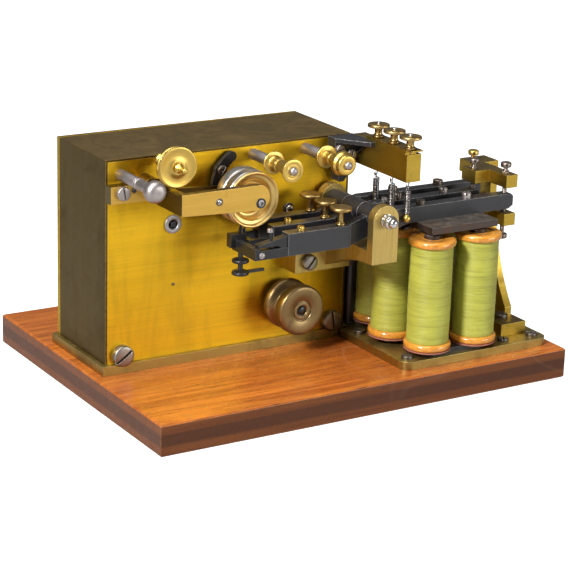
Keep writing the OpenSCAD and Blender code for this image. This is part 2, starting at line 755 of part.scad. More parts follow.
module drive_pulley() {
    r = pulley_d / 2;
    neck = pulley_neck_d / 2;
    l = pulley_l;
    color([0.42, 0.33, 0.2]) difference() {
        turned(drive_c, face_y - pulley_gap, [
            [0, 0], [r - 3, 0], [r - 0.8, 1], [r, 3], [r, 6], [r - 1, 7.5], [neck + 1, 9.5], [neck, 11],
            [neck, l - 12.5], [neck + 1, l - 11], [r - 1, l - 9.5], [r, l - 8], [r, l - 3.5],
            [r - 1.2, l - 1], [r - 3.5, l], [8.3, l], [7.6, l - 1], [6.8, l - 0.2], [0, l - 0.2]
        ]);
        shaft(drive_c, face_y, pulley_gap + l + 1, drive_shaft_d / 2 + seat_fit);
    }
}
module fourth_arbor() {
    color([0.78, 0.62, 0.28]) {
        arbor(fourth_c);
        crossed_wheel(fourth_c, fourth_wheel_y + wheel_t, wheel_t, fourth_n, fourth_dir);
        pinion(fourth_c, drive_wheel_y + wheel_t / 2 + pinion_l / 2, pinion_l, fourth_leaves, fourth_dir + 180);
    }
}
// Governor: a two-vane air fly on the last arbor, whose domed end shows in front
module governor() {
    vane_l = 24;
    color([0.6, 0.6, 0.6]) {
        shaft(fly_c, back_in_y - end_gap, back_in_y - end_gap - face_y + 1.5, arbor_r);
        turned(fly_c, face_y - 1.5 - 0.3, [[0, 0], [3.3, 0], [3.2, 1], [2.4, 2], [1.2, 2.6], [0, 2.8]]);
        shaft(fly_c, face_y, 1.9, arbor_r);
        shaft(fly_c, back_y + 0.5, plate_t + 4, pivot_r);
        pinion(fly_c, fourth_wheel_y + wheel_t / 2 + pinion_l / 2, pinion_l, fly_leaves, fourth_dir + 180);
        translate([fly_c[0] - 0.5, second_wheel_y - 4, fly_c[1] - fly_r])
            cube([1, vane_l, 2 * fly_r]);
    }
}

// Lever bracket: a foot on the plate, an arched beam and two bearing ears
module lever_bracket() {
    beam_x = axis_x - ear_w / 2;
    arch_r = 118.6;
    arch_c = [ear_front_y + 0.5, beam_bottom - arch_r];
    color([0.72, 0.56, 0.22]) difference() {
        union() {
            translate([bracket_foot_x, face_y - bracket_foot_t, bracket_foot_z])
                cube([36 + ear_w / 2, bracket_foot_t, bracket_foot_top - bracket_foot_z]);
            difference() {
                translate([beam_x, ear_front_y, axis_z - 56])
                    cube([ear_w, face_y - ear_front_y, beam_top - axis_z + 56]);
                translate([beam_x - 1, arch_c[0], arch_c[1]]) rotate([0, 90, 0])
                    cylinder(h = ear_w + 2, r = arch_r, $fn = 240);
                translate([beam_x - 1, ear_front_y - 1, 0])
                    cube([ear_w + 2, 2, beam_bottom]);
            }
            for (y = [ear_front_y + ear_t, ear_rear_y]) {
                shaft([axis_x, axis_z], y, ear_t, ear_w / 2);
                translate([beam_x, y - ear_t, beam_bottom]) cube([ear_w, ear_t, axis_z - beam_bottom]);
            }
        }
        shaft([axis_x, axis_z], face_y, face_y - ear_front_y + 2, axle_d / 2 + seat_fit);
        shaft(bracket_screw, face_y + 1, bracket_foot_t + 2, 3 + seat_fit);
    }
}
// Steel axle with a collar, a lock nut and a rounded end in front
module pivot_axle() {
    color([0.66, 0.66, 0.65]) {
        shaft([axis_x, axis_z], ear_rear_y - 0.5, ear_rear_y - 0.5 - ear_front_y, axle_d / 2);
        turned([axis_x, axis_z], ear_front_y, [
            [0, 0], [5.2, 0], [5.2, 2.2], [4, 2.6], [4, 3.4], [5, 3.8], [5, 6.6], [3.6, 7.2],
            [3.6, 9.6], [2.6, 11.2], [1.2, 11.9], [0, 12]
        ]);
    }
}

// One lever: hub, deep left arm, web and tapering right arm
module lever(i) {
    y1 = lever_y(i) + lever_t / 2;
    end_x = lever_end(i);
    web_t = lever_t - 3;
    hub_l = lever_pitch - end_gap;
    color([0.1, 0.1, 0.11]) difference() {
        union() {
            shaft([axis_x, axis_z], lever_y(i) + hub_l / 2, hub_l, hub_d / 2);
            forward(y1) linear_extrude(height = lever_t) polygon([
                [arm_x0, arm_bottom], [arm_x1, arm_bottom], [arm_x1, arm_top], [arm_x0, arm_top]
            ]);
            forward(y1 - 1.5) linear_extrude(height = web_t) polygon([
                [arm_x1 - 1, arm_bottom], [axis_x - 4, axis_z - 14], [axis_x + 12, axis_z - 13],
                [axis_x + 27, right_bottom], [axis_x + 27, lever_top], [axis_x, lever_top],
                [arm_x1 - 1, arm_top]
            ]);
            forward(y1) linear_extrude(height = lever_t) polygon([
                [axis_x + 13, axis_z - 12.8], [axis_x + 28, right_bottom], [end_x - 4, right_bottom],
                [end_x, right_bottom + 2.5], [end_x, lever_top - 2], [end_x - 2, lever_top],
                [axis_x + 13, lever_top]
            ]);
            shaft([spring_x, ball_z], y1 - lever_t, lever_t / 2, 1);
            forward(spring_y(i)) translate([spring_x, ball_z, 0]) sphere(r = ball_r);
        }
        shaft([axis_x, axis_z], lever_y(i) + hub_l, 2 * hub_l, axle_d / 2 + running_fit);
        post(thumb_x, lever_y(i), arm_bottom - 1, arm_top - arm_bottom + 2, thumb_stem_r + seat_fit);
    }
}
// Style holders: the front one is a jaw with a cross bar, a block and its adjusting
// screw, the others are thin bent bars; each carries an upright style under the roller
style_gap = 1.8;
style_pitch = 5;
style_bar_t = 3.5;
style_bar_h = 6;
jaw_x = arm_x0 - 26;
cross_bar_t = 4;
function style_x(i) = roller_x - (i == 0 ? 7 : 1.5);
function style_y(i) = (roller_y0 + roller_y1) / 2 - (1 - i) * style_pitch;
function style_tip(i) = roller_z - style_gap
    - sqrt(pow(roller_d / 2, 2) - pow(roller_x - style_x(i), 2));
module upright(i, z0) {
    post(style_x(i), style_y(i), z0, style_tip(i) - 3 - z0, 1.6);
    translate([style_x(i), style_y(i), style_tip(i) - 3.1]) cylinder(h = 3.1, r1 = 1.6, r2 = 0.5);
}
module front_style() {
    y0 = lever_y(0) - lever_t / 2;
    block_z = arm_bottom + 3;
    color([0.08, 0.08, 0.09]) {
        translate([jaw_x, y0, arm_bottom]) cube([arm_x0 - jaw_x, 7, 6.5]);
        forward(y0 + 7) linear_extrude(height = 6) polygon([
            [arm_x0, arm_bottom + 6], [arm_x0, arm_top - 1.5], [arm_x0 - 23, arm_bottom + 10],
            [arm_x0 - 23, arm_bottom + 8.2], [arm_x0 - 8, arm_bottom + 8.2], [arm_x0 - 4, arm_bottom + 6]
        ]);
        translate([jaw_x - 0.5, y0, arm_bottom])
            cube([cross_bar_t, style_y(0) + 3 - y0, 8]);
        translate([jaw_x - 5, style_y(0) - 3, block_z]) cube([style_x(0) + 2 - jaw_x + 5, 6, 9.5]);
        upright(0, block_z + 5);
        post(style_x(0), style_y(0), block_z - 22, 23, 1.8);
        post(style_x(0), style_y(0), block_z - 12, 2, 5.8);
        post(style_x(0), style_y(0), block_z - 21, 2.4, 5.8);
    }
    color([0.6, 0.58, 0.55]) {
        forward(style_y(0) + 1) translate([style_x(0) + 5, block_z - 20.8, 0])
            cube([14, 2, 2]);
        post(arm_x0 - 12, y0 + 4, arm_bottom + 7, 12.5, 1.2);
    }
}
module style(i) {
    arm_z = arm_bottom + 1.5;
    y0 = lever_y(i);
    x = style_x(i);
    color([0.08, 0.08, 0.09]) {
        translate([x - 2, y0 - style_bar_t / 2, arm_z]) cube([arm_x0 - x + 2, style_bar_t, style_bar_h]);
        translate([x - 2, min(y0, style_y(i)) - style_bar_t / 2, arm_z])
            cube([4, abs(y0 - style_y(i)) + style_bar_t, style_bar_h]);
        upright(i, arm_z - 2);
    }
}
module armature(i) {
    depth = i == 1 ? 24 : 28;
    y0 = [pair_y[0] - 7.3, lever_y(1) - depth / 2, pair_y[2] + 8.5 - depth];
    color([0.2, 0.17, 0.15]) translate([pair_x[i] - 5.5, y0[i], armature_z])
        cube([coil_pitch + 17, depth, armature_t]);
}
module thumb_screw(i) {
    color([0.8, 0.65, 0.35]) {
        post(thumb_x, lever_y(i), arm_bottom + 4, thumb_head_z - arm_bottom - 4, thumb_stem_r);
        translate([thumb_x, lever_y(i), thumb_head_z]) rotate_extrude()
            polygon([[0, 0], [6.8, 0], [8, 0.9], [8, 2.2], [7.2, 3], [0, 3]]);
    }
}

// Springs
function spring_steps() = curls * 8;
function ramp(i) = min(1, min(i, spring_steps() - i) / 4);
function spring_point(i) = [
    curl_d / 2 * ramp(i) * cos(i * 45), curl_d / 2 * ramp(i) * sin(i * 45),
    wire_d + (spring_z1 - spring_z0 - 2 * wire_d) * i / spring_steps()
];
spring_path = concat(
    [[0, 0, 0]], [for (i = [0 : spring_steps()]) spring_point(i)], [[0, 0, spring_z1 - spring_z0]]
);
function tangent(p, i) = let (
    a = p[max(0, i - 1)], b = p[min(len(p) - 1, i + 1)]
) (b - a) / norm(b - a);
function side_way(i) = let (a = (i - 1) * 45) [cos(a), sin(a), 0];
function ring_at(p, i) = let (
    t = i <= 1 || i >= len(p) - 2 ? [0, 0, 1] : tangent(p, i),
    u0 = side_way(min(max(i, 1), len(p) - 2)),
    u1 = u0 - t * (u0 * t), u = u1 / norm(u1), v = cross(t, u)
) [for (k = [0 : 5]) p[i] + wire_d / 2 * (u * cos(k * 60) + v * sin(k * 60))];
module wound_spring(i) {
    n = len(spring_path);
    points = [for (j = [0 : n - 1]) each ring_at(spring_path, j)];
    sides = [for (j = [0 : n - 2], k = [0 : 5]) let (
        a = j * 6 + k, b = j * 6 + (k + 1) % 6
    ) each [[a, a + 6, b], [b, a + 6, b + 6]]];
    first = [for (k = [1 : 4]) [0, k, k + 1]];
    last = [for (k = [1 : 4]) [n * 6 - 6, n * 6 - 6 + k + 1, n * 6 - 6 + k]];
    color([0.6, 0.6, 0.6]) translate([spring_x, spring_y(i), spring_z0])
        polyhedron(points = points, faces = concat(sides, first, last), convexity = 10);
}
spring_self_gap = min([
    for (a = [1 : len(spring_path) - 8], b = [a + 6 : len(spring_path) - 2])
        norm(spring_path[a] - spring_path[b])
]) - wire_d;
echo(spring_self_gap = spring_self_gap);
module spring_hooks() {
    color([0.55, 0.55, 0.53]) for (i = [0 : 2])
        post(spring_x, spring_y(i), spring_z1, beam_z1 + rail_t + knob_neck_l + knob_head_t + 1.5 - spring_z1, hook_r);
}
module spring_knob(i) {
    color([0.7, 0.55, 0.25]) translate([spring_x, spring_y(i), beam_z1 + rail_t + 0.1])
        difference() {
            rotate_extrude() polygon([
                [0, 0], [4, 0], [4, 1.2], [2.8, 2], [2.8, knob_neck_l], [knob_r - 1, knob_neck_l],
                [knob_r, knob_neck_l + 0.8], [knob_r, knob_neck_l + knob_head_t - 0.8],
                [knob_r - 1, knob_neck_l + knob_head_t], [0, knob_neck_l + knob_head_t]
            ]);
            post(0, 0, -1, knob_neck_l + knob_head_t + 2, hook_r + running_fit);
        }
}
module spring_bar() {
    color([0.6, 0.47, 0.2]) difference() {
        union() {
            translate([beam_x0, beam_y0, beam_z0]) cube([beam_w, face_y - beam_y0, beam_z1 - beam_z0]);
            translate([spring_x - rail_w / 2, beam_y0 + 2, beam_z1])
                cube([rail_w, spring_y(2) + 8 - beam_y0 - 2, rail_t]);
            translate([spring_x - rail_w / 2 + 2, beam_y0 - 2, beam_z1 + rail_t - 1])
                cube([rail_w + 1, spring_y(2) + 12 - beam_y0, 1]);
        }
        for (i = [0 : 2])
            post(spring_x, spring_y(i), beam_z0 - 1, beam_z1 - beam_z0 + rail_t + 2, hook_r + seat_fit);
    }
}
// Black casting between the front plate and the brass beam
module spring_bracket() {
    tip_x = axis_x + 4.5;
    tip_z = case_z1 - 33;
    top_z = case_z1 - 0.5;
    x0 = axis_x - 1;
    web_t = 3;
    web_y = face_y - 31;
    curve_r = 17;
    web_r = 26;
    color([0.09, 0.09, 0.1]) difference() {
        union() {
            translate([0, 0, top_z - web_t]) linear_extrude(height = web_t) polygon([
                [x0, face_y], [beam_x0, face_y], [beam_x0, web_y],
                [beam_x0 - 4, web_y], [x0, face_y - casting_t]
            ]);
            difference() {
                translate([beam_x0 - web_t, web_y, beam_z0 + 2])
                    cube([web_t, face_y - web_y, top_z - beam_z0 - 2]);
                translate([beam_x0 - web_t - 1, web_y - 0.5, case_z1 - 4 - web_r]) rotate([0, 90, 0])
                    cylinder(h = web_t + 2, r = web_r, $fn = 96);
            }
            forward(face_y) linear_extrude(height = casting_t) difference() {
                polygon([
                    [x0, top_z], [beam_x0, top_z], [beam_x0, beam_z0 + 6],
                    [tip_x + 3, tip_z], [tip_x - 1, tip_z], [x0, case_z1 - 14]
                ]);
                translate([beam_x0 + curve_r * 0.42, beam_z0 - curve_r + 7]) circle(r = curve_r);
            }
        }
        for (c = casting_screws) shaft(c, face_y + 1, casting_t + 2, 2 + seat_fit);
    }
}

// Magnets
plate_screws_at = [
    [magnet_x0 + 8.3, magnet_y0 + 9.5], [magnet_x1 - 35.6, magnet_y0 + 9.5],
    [magnet_x1 - 9, magnet_y0 + 9.5], [magnet_x0 + 9, magnet_step_y - 13],
    [magnet_x1 - 40, magnet_y1 - 8], [magnet_step_x + 8, magnet_y1 - 8]
];
foot_screws_at = [
    [post_x - 5, post_foot_y[0] + 16], [post_x - 5, post_foot_y[1] - 10]
];
module magnet_plate() {
    r = 8;
    color([0.55, 0.47, 0.2]) difference() {
        translate([0, 0, base_h]) linear_extrude(height = magnet_plate_t) difference() {
            translate([magnet_x0, magnet_y0]) square([magnet_x1 - magnet_x0, magnet_y1 - magnet_y0]);
            for (x = [magnet_x0, magnet_x1]) corner_cut(x, magnet_y0, x == magnet_x0 ? 1 : -1, 1, r);
            corner_cut(magnet_x1, magnet_y1, -1, -1, r);
            translate([magnet_x0 - 1, magnet_step_y])
                square([magnet_step_x - magnet_x0 + 1, magnet_y1 - magnet_step_y + 1]);
        }
        for (c = plate_screws_at)
            post(c[0], c[1], base_h - 1, magnet_plate_t + 2, 2.2 + seat_fit);
    }
}
// Takes off the square corner at x, y outside a quarter circle
module corner_cut(x, y, sx, sy, r) {
    translate([x, y]) scale([sx, sy]) difference() {
        translate([-1, -1]) square([r + 1, r + 1]);
        translate([r, r]) circle(r = r);
    }
}
module magnet_plate_screws() {
    color([0.3, 0.28, 0.24]) {
        for (c = plate_screws_at) {
            post(c[0], c[1], base_h, magnet_plate_t, 2.2);
            top_screw(c[0], c[1], plate_top, 8.5, 2, c[0] * 3);
        }
        for (c = foot_screws_at) top_screw(c[0], c[1], plate_top + post_foot_t, 10, 3, 120);
    }
}
module magnet_yokes() {
    color([0.12, 0.12, 0.12]) for (i = [0 : 2]) {
        translate([pair_x[i], pair_y[i] - 9, plate_top]) cube([coil_pitch, 18, yoke_t]);
        for (k = [0, 1]) post(pair_x[i] + k * coil_pitch, pair_y[i], plate_top, yoke_t, 9);
    }
}
module for_each_coil() {
    for (i = [0 : 2], k = [0, 1]) translate([pair_x[i] + k * coil_pitch, pair_y[i], 0]) children();
}
module magnet_cores() {
    color([0.35, 0.34, 0.33]) for_each_coil() post(0, 0, yoke_top, core_top - yoke_top, core_d / 2);
}
module coil_bobbins() {
    wall = 1.5;
    r = coil_d / 2;
    color([0.8, 0.45, 0.15]) for_each_coil() translate([0, 0, coil_z0]) rotate_extrude() polygon([
        [coil_bore_r, 0], [r - 1.2, 0], [r, 1.2], [r, flange_t - 1.2], [r - 1.2, flange_t],
        [coil_bore_r + wall, flange_t], [coil_bore_r + wall, coil_h - flange_t],
        [r - 1.2, coil_h - flange_t], [r, coil_h - flange_t + 1.2], [r, coil_h - 1.2],
        [r - 1.2, coil_h], [coil_bore_r, coil_h]
    ]);
}
module coil_windings() {
    inner = coil_bore_r + 1.5 + seat_fit;
    color([0.6, 0.68, 0.2]) for_each_coil() translate([0, 0, coil_z0 + flange_t + seat_fit])
        rotate_extrude() polygon([
            [inner, 0], [winding_d / 2, 0], [winding_d / 2, coil_h - 2 * flange_t - 2 * seat_fit],
            [inner, coil_h - 2 * flange_t - 2 * seat_fit]
        ]);
}
module coil_washers() {
    color([0.75, 0.4, 0.32]) for_each_coil() difference() {
        post(0, 0, yoke_top, washer_t, coil_d / 2 - 0.2);
        post(0, 0, yoke_top - 1, washer_t + 2, core_d / 2 + seat_fit);
    }
}

// Stops: a flared brass plate on a foot, two bars and six screws
module stop_post() {
    flare_z0 = plate_top + 15.1;
    flare_z1 = upper_stop_z - 10;
    rise = flare_z1 - flare_z0;
    flare_r = (rise * rise + post_spread * post_spread) / (2 * post_spread);
    half = post_neck + post_spread;
    foot_top = plate_top + post_foot_t;
    color([0.75, 0.6, 0.22]) {
        difference() {
            translate([post_x, post_y - half, foot_top - 0.01])
                cube([post_t, 2 * half, upper_stop_z + upper_stop_t - foot_top]);
            for (s = [-1, 1]) {
                translate([post_x - 1, post_y + s * (post_neck + flare_r), flare_z1])
                    rotate([0, 90, 0]) cylinder(h = post_t + 2, r = flare_r, $fn = 240);
                translate([post_x - 1, post_y + s * (post_neck + half) - half, flare_z1])
                    cube([post_t + 2, 2 * half, upper_stop_z]);
            }
        }
        translate([post_foot_x, post_foot_y[0], plate_top])
            cube([post_x + post_t - post_foot_x, post_foot_y[1] - post_foot_y[0], post_foot_t]);
    }
}
module stop_bars() {
    bar_x = stop_x(0) - 5.6;
    mid_x = stop_x(1) - 4.5;
    color([0.66, 0.53, 0.2]) for (s = [[upper_stop_z, upper_stop_t], [lower_stop_z, lower_stop_t]])
        difference() {
            translate([0, 0, s[0]]) linear_extrude(height = s[1]) union() {
                translate([bar_x, lever_y(0) - 9]) square([stop_bar_w, lever_y(2) - lever_y(0) + 18]);
                translate([mid_x, lever_y(1) - 8.5]) square([bar_x - mid_x + 1, mid_block_w]);
                translate([bar_x, post_y - post_neck]) square([post_x - bar_x, 2 * post_neck]);
            }
            for (i = [0 : 2])
                post(stop_x(i), lever_y(i), s[0] - 1, s[1] + 2, stop_screw_r + seat_fit);
        }
}
module stop_screws() {
    color([0.5, 0.42, 0.28]) for (i = [0 : 2]) {
        top = upper_stop_z + upper_stop_t;
        translate([stop_x(i), lever_y(i), 0]) {
            post(0, 0, lever_top, top + 5 - lever_top, stop_screw_r);
            post(0, 0, top, 2.5, 3.6);
            post(0, 0, top + 4, 4, 4);
            post(0, 0, lower_stop_z - 8, lower_tip(i) - lower_stop_z + 8, stop_screw_r);
            post(0, 0, lower_stop_z - 2.5, 2.5, 3.6);
            post(0, 0, lower_stop_z - 12, 4, 4);
        }
    }
}

base_board();
case_foot_plate();
case_front_plate();
case_back_plate();
case_cover();
case_pillars();
front_plate_screws();
mounting_screws();
plate_bushes();
tape_posts();
pivot_block();
lever_bracket();
pivot_axle();
spring_bracket();
spring_bar();
spring_hooks();
wound_spring(0);  // spring_front
wound_spring(1);  // spring_mid
wound_spring(2);  // spring_rear
magnet_plate();
magnet_plate_screws();
magnet_yokes();
magnet_cores();
coil_bobbins();
coil_windings();
coil_washers();
stop_post();
stop_bars();
stop_screws();
swing_frame();
frame_spindles();
tape_roller();
disc_roller();
guide_roller_mid();
guide_roller_right();
start_stop_lever();
winding_arbor();
mainspring_barrel();
mainspring();
second_arbor();
third_arbor();
drive_arbor();
drive_pulley();
fourth_arbor();
governor();
lever(0);  // lever_front
lever(1);  // lever_mid
lever(2);  // lever_rear
front_style();  // style_front
style(1);  // style_mid
style(2);  // style_rear
armature(0);  // armature_front
armature(1);  // armature_mid
armature(2);  // armature_rear
thumb_screw(0);  // thumb_screw_front
thumb_screw(1);  // thumb_screw_mid
thumb_screw(2);  // thumb_screw_rear
spring_knob(0);  // spring_knob_front
spring_knob(1);  // spring_knob_mid
spring_knob(2);  // spring_knob_rear
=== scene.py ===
import math
import bpy
from mathutils import Matrix, Vector


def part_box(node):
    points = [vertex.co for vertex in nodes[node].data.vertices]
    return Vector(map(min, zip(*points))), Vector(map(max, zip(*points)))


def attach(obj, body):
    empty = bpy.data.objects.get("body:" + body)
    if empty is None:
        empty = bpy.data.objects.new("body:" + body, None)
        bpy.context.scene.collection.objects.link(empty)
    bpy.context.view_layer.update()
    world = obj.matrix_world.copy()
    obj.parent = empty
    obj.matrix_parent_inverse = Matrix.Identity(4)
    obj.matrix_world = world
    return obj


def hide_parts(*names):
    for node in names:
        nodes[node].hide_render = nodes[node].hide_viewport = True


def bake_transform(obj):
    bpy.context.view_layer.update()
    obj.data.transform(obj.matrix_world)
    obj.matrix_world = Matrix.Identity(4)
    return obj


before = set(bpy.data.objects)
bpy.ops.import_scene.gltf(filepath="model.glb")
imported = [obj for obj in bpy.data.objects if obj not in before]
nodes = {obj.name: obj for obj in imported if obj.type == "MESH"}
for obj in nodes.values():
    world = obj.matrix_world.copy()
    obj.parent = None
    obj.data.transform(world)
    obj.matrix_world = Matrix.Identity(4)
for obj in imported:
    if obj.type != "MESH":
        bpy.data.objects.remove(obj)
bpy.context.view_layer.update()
scene = bpy.context.scene
trio = ("front", "mid", "rear")  # the three levers and what belongs to them
print("frame loaded:", len(nodes), "nodes")


# Adds nodes to one tree: a socket is linked, a plain value is set on the node's own socket
class NodeMaker:
    def __init__(self, tree):
        self.tree = tree

    def feed(self, node, values):
        for key, value in values.items():
            socket = node.inputs[key]
            if isinstance(value, bpy.types.NodeSocket):
                self.tree.links.new(value, socket)
            elif socket.type == "RGBA":
                socket.default_value = (*value, 1)
            else:
                socket.default_value = value

    def put(self, kind, values=None, **settings):
        node = self.tree.nodes.new(kind)
        for key, value in settings.items():
            setattr(node, key, value)
        self.feed(node, values or {})
        return node

    def calc(self, operation, a, b=0, clamp=False):
        return self.put("ShaderNodeMath", {0: a, 1: b}, operation=operation, use_clamp=clamp).outputs[0]

    def times(self, a, b):
        return self.calc("MULTIPLY", a, b)

    def plus(self, total, *terms):
        for term in terms:
            total = self.calc("ADD", total, term)
        return total

    def remap(self, value, low, high, outLow=0, outHigh=1):
        values = {0: value, 1: low, 2: high, 3: outLow, 4: outHigh}
        return self.put("ShaderNodeMapRange", values, clamp=True).outputs[0]

    def mix(self, factor, a, b):
        return self.put("ShaderNodeMix", {0: factor, 6: a, 7: b}, data_type="RGBA").outputs[2]

    def layers(self, tone, *coats):
        # Each coat: how much of it shows, and its colour
        for share, colour in coats:
            tone = self.mix(share, tone, colour)
        return tone

    def vector(self, operation, a, b=None):
        values = {0: a} if b is None else {0: a, 1: b}
        return self.put("ShaderNodeVectorMath", values, operation=operation).outputs

    def place(self):
        return self.put("ShaderNodeTexCoord").outputs["Object"]

    def normal(self):
        return self.put("ShaderNodeNewGeometry").outputs["Normal"]

    def parts(self, vector):
        return self.put("ShaderNodeSeparateXYZ", {0: vector}).outputs

    def facingUp(self, low, high):
        return self.remap(self.parts(self.normal())[2], low, high)

    def cloud(self, scale, detail, rough, warp=0, at=None):
        # A scale of three numbers draws the clouds out along the axes
        at = at or self.place()
        if isinstance(scale, tuple):
            at, scale = self.vector("MULTIPLY", at, scale)[0], 1
        values = {"Vector": at, "Scale": scale, "Detail": detail, "Roughness": rough, "Distortion": warp}
        return self.put("ShaderNodeTexNoise", values).outputs[0]

    def bump(self, strength, distance, height, normal=None):
        values = {"Strength": strength, "Distance": distance, "Height": height}
        if normal:
            values["Normal"] = normal
        return self.put("ShaderNodeBump", values).outputs[0]

    def group(self, group, **values):
        return self.put("ShaderNodeGroup", values, node_tree=group).outputs


def newGroup(name, given, results):
    # given: default values by name; results: the kind of each output
    tree = bpy.data.node_groups.new(name, "ShaderNodeTree")
    for title, default in given.items():
        kind = "NodeSocketVector" if isinstance(default, tuple) else "NodeSocketFloat"
        tree.interface.new_socket(name=title, in_out="INPUT", socket_type=kind).default_value = default
    for title, kind in results.items():
        tree.interface.new_socket(name=title, in_out="OUTPUT", socket_type="NodeSocket" + kind)
    n = NodeMaker(tree)
    return n, n.put("NodeGroupInput").outputs, n.put("NodeGroupOutput")


def buildEdgeWear():
    # Rounded normal near sharp edges, and a broken mask of the rubbed edges
    results = dict(Worn="Float", Normal="Vector")
    n, given, result = newGroup("edgeWear", dict(Radius=0.0005, Breakup=300), results)
    rounded = n.put("ShaderNodeBevel", {"Radius": given["Radius"]}, samples=6).outputs[0]
    same = n.vector("DOT_PRODUCT", rounded, n.normal())["Value"]
    broken = n.remap(n.cloud(given["Breakup"], 5, 0.65), 0.35, 0.62)
    n.feed(result, {"Worn": n.times(n.remap(same, 0.995, 0.86), broken), "Normal": rounded})
    return n.tree


lineDensity = 2600  # brushed lines per metre, roughly


def buildBrushedLines():
    # Fine lines: straight ones through Stretch, or rings round the piece's own axis
    n, given, result = newGroup("brushedLines", dict(Stretch=(30, 30, lineDensity), Turned=0),
        dict(Height="Float", Streak="Float"))
    place = n.place()
    x, y, z = n.parts(place)
    reach = n.vector("LENGTH", n.put("ShaderNodeCombineXYZ", {0: x, 1: y}).outputs[0])["Value"]
    around = n.calc("ARCTAN2", y, x)
    rings = {0: n.times(reach, lineDensity), 1: n.times(z, lineDensity), 2: n.times(around, 0.8)}
    ways = {0: given["Turned"], 4: n.vector("MULTIPLY", place, given["Stretch"])[0],
        5: n.put("ShaderNodeCombineXYZ", rings).outputs[0]}
    way = n.put("ShaderNodeMix", ways, data_type="VECTOR").outputs[1]
    n.feed(result, {"Height": n.cloud(1, 3, 0.6, at=way),
                    "Streak": n.cloud((0.12, 0.12, 0.12), 2, 0.5, at=way)})
    return n.tree


def buildStains():
    # Tarnish in clouds, small spots, a film of dust on what looks up, and finger marks
    n, given, result = newGroup("stains", dict(Scale=40, Amount=0.5, Spots=0.3, Dust=0.3),
        dict.fromkeys(("Tarnish", "Spots", "Dust", "Touch"), "Float"))
    low = n.calc("SUBTRACT", 0.78, n.times(given["Amount"], 0.45))
    specks = n.remap(n.cloud(900, 3, 0.7), 0.64, 0.72)
    settled = n.times(n.facingUp(0.5, 1), n.remap(n.cloud(120, 6, 0.7), 0.35, 0.75))
    n.feed(result, {"Tarnish": n.remap(n.cloud(given["Scale"], 8, 0.62, 0.4), low, n.plus(low, 0.22)),
                    "Spots": n.times(specks, given["Spots"]),
                    "Dust": n.times(settled, given["Dust"]),
                    "Touch": n.remap(n.cloud(70, 5, 0.6, 1.2), 0.4, 0.65)})
    return n.tree


edgeWear = buildEdgeWear()
brushedLines = buildBrushedLines()
stains = buildStains()


def newMaterial(name):
    material = bpy.data.materials.new(name)
    material.use_nodes = True
    return material, NodeMaker(material.node_tree), material.node_tree.nodes["Principled BSDF"]


dustTone = (0.42, 0.38, 0.3)

# What every metal has unless its own row says otherwise
metalBase = dict(stretch=(30, 30, lineDensity), turned=False, edge=0.0004, wear=0.8, lineTone=0,
    lineBump=0.25, coat=0, coatRough=0.15, grain=0)


def metalFinish(name, row):
    look = {**metalBase, **row}
    material, n, shader = newMaterial(name)
    main, streaks, tarnish, spots, rubbed = look["tones"]
    scale, amount, specks, dust = look["dirt"]
    dirt = n.group(stains, Scale=scale, Amount=amount, Spots=specks, Dust=dust)
    lines = n.group(brushedLines, Stretch=look["stretch"], Turned=float(look["turned"]))
    worn = n.group(edgeWear, Radius=look["edge"], Breakup=350)
    coats = [(lines["Streak"], streaks), (dirt["Tarnish"], tarnish), (dirt["Spots"], spots)]
    if "reflectionSmear" in look:
        # Painted reflection: dark vertical runs in the tarnish tone stand for the dark things mirrored in the
        # brushed plate
        reflectionRuns = n.cloud((42, 42, 7), 5, 0.62, 0.5)
        coats.append((n.remap(reflectionRuns, 0.5, 0.72, 0, look["reflectionSmear"]), tarnish))
    coats += [(n.remap(lines["Height"], 0.45, 0.7, 0, look["lineTone"]), tarnish),
        (n.times(worn["Worn"], look["wear"]), rubbed), (dirt["Dust"], dustTone)]
    # Painted light and shade on top faces: faces that look up take the upper colour, lighter on the cover,
    # darker on the aged brass
    if "upper" in look:
        coats.append((n.times(n.facingUp(0.6, 0.95), look["upperShare"]), look["upper"]))
    if "paintedShade" in look:
        # Painted shade: the top, the left side and, behind innerFrom, all of it are darkened
        shadedFaces = n.calc("MAXIMUM", n.facingUp(0.6, 0.95), n.remap(n.parts(n.normal())[0], -0.6, -0.95))
        if "innerFrom" in look:
            deep = n.remap(n.parts(n.place())[1], look["innerFrom"], look["innerFrom"] + 0.001)
            shadedFaces = n.calc("MAXIMUM", shadedFaces, deep)
        coats.append((n.times(shadedFaces, 0.9), look["paintedShade"]))
    rough = n.plus(look["rough"], n.times(dirt["Tarnish"], 0.16), n.times(dirt["Touch"], 0.07),
        n.times(dirt["Dust"], 0.5), n.times(lines["Height"], 0.1))
    n.feed(shader, {"Base Color": n.layers(main, *coats), "Roughness": rough,
                    "Metallic": n.calc("SUBTRACT", 1, n.times(dirt["Dust"], 0.8), True),
                    "Normal": n.bump(look["lineBump"], 0.00006, lines["Height"], worn["Normal"]),
                    "Coat Weight": look["coat"], "Coat Roughness": look["coatRough"],
                    "Anisotropic": look["grain"], "Anisotropic Rotation": 0.25})
    return material


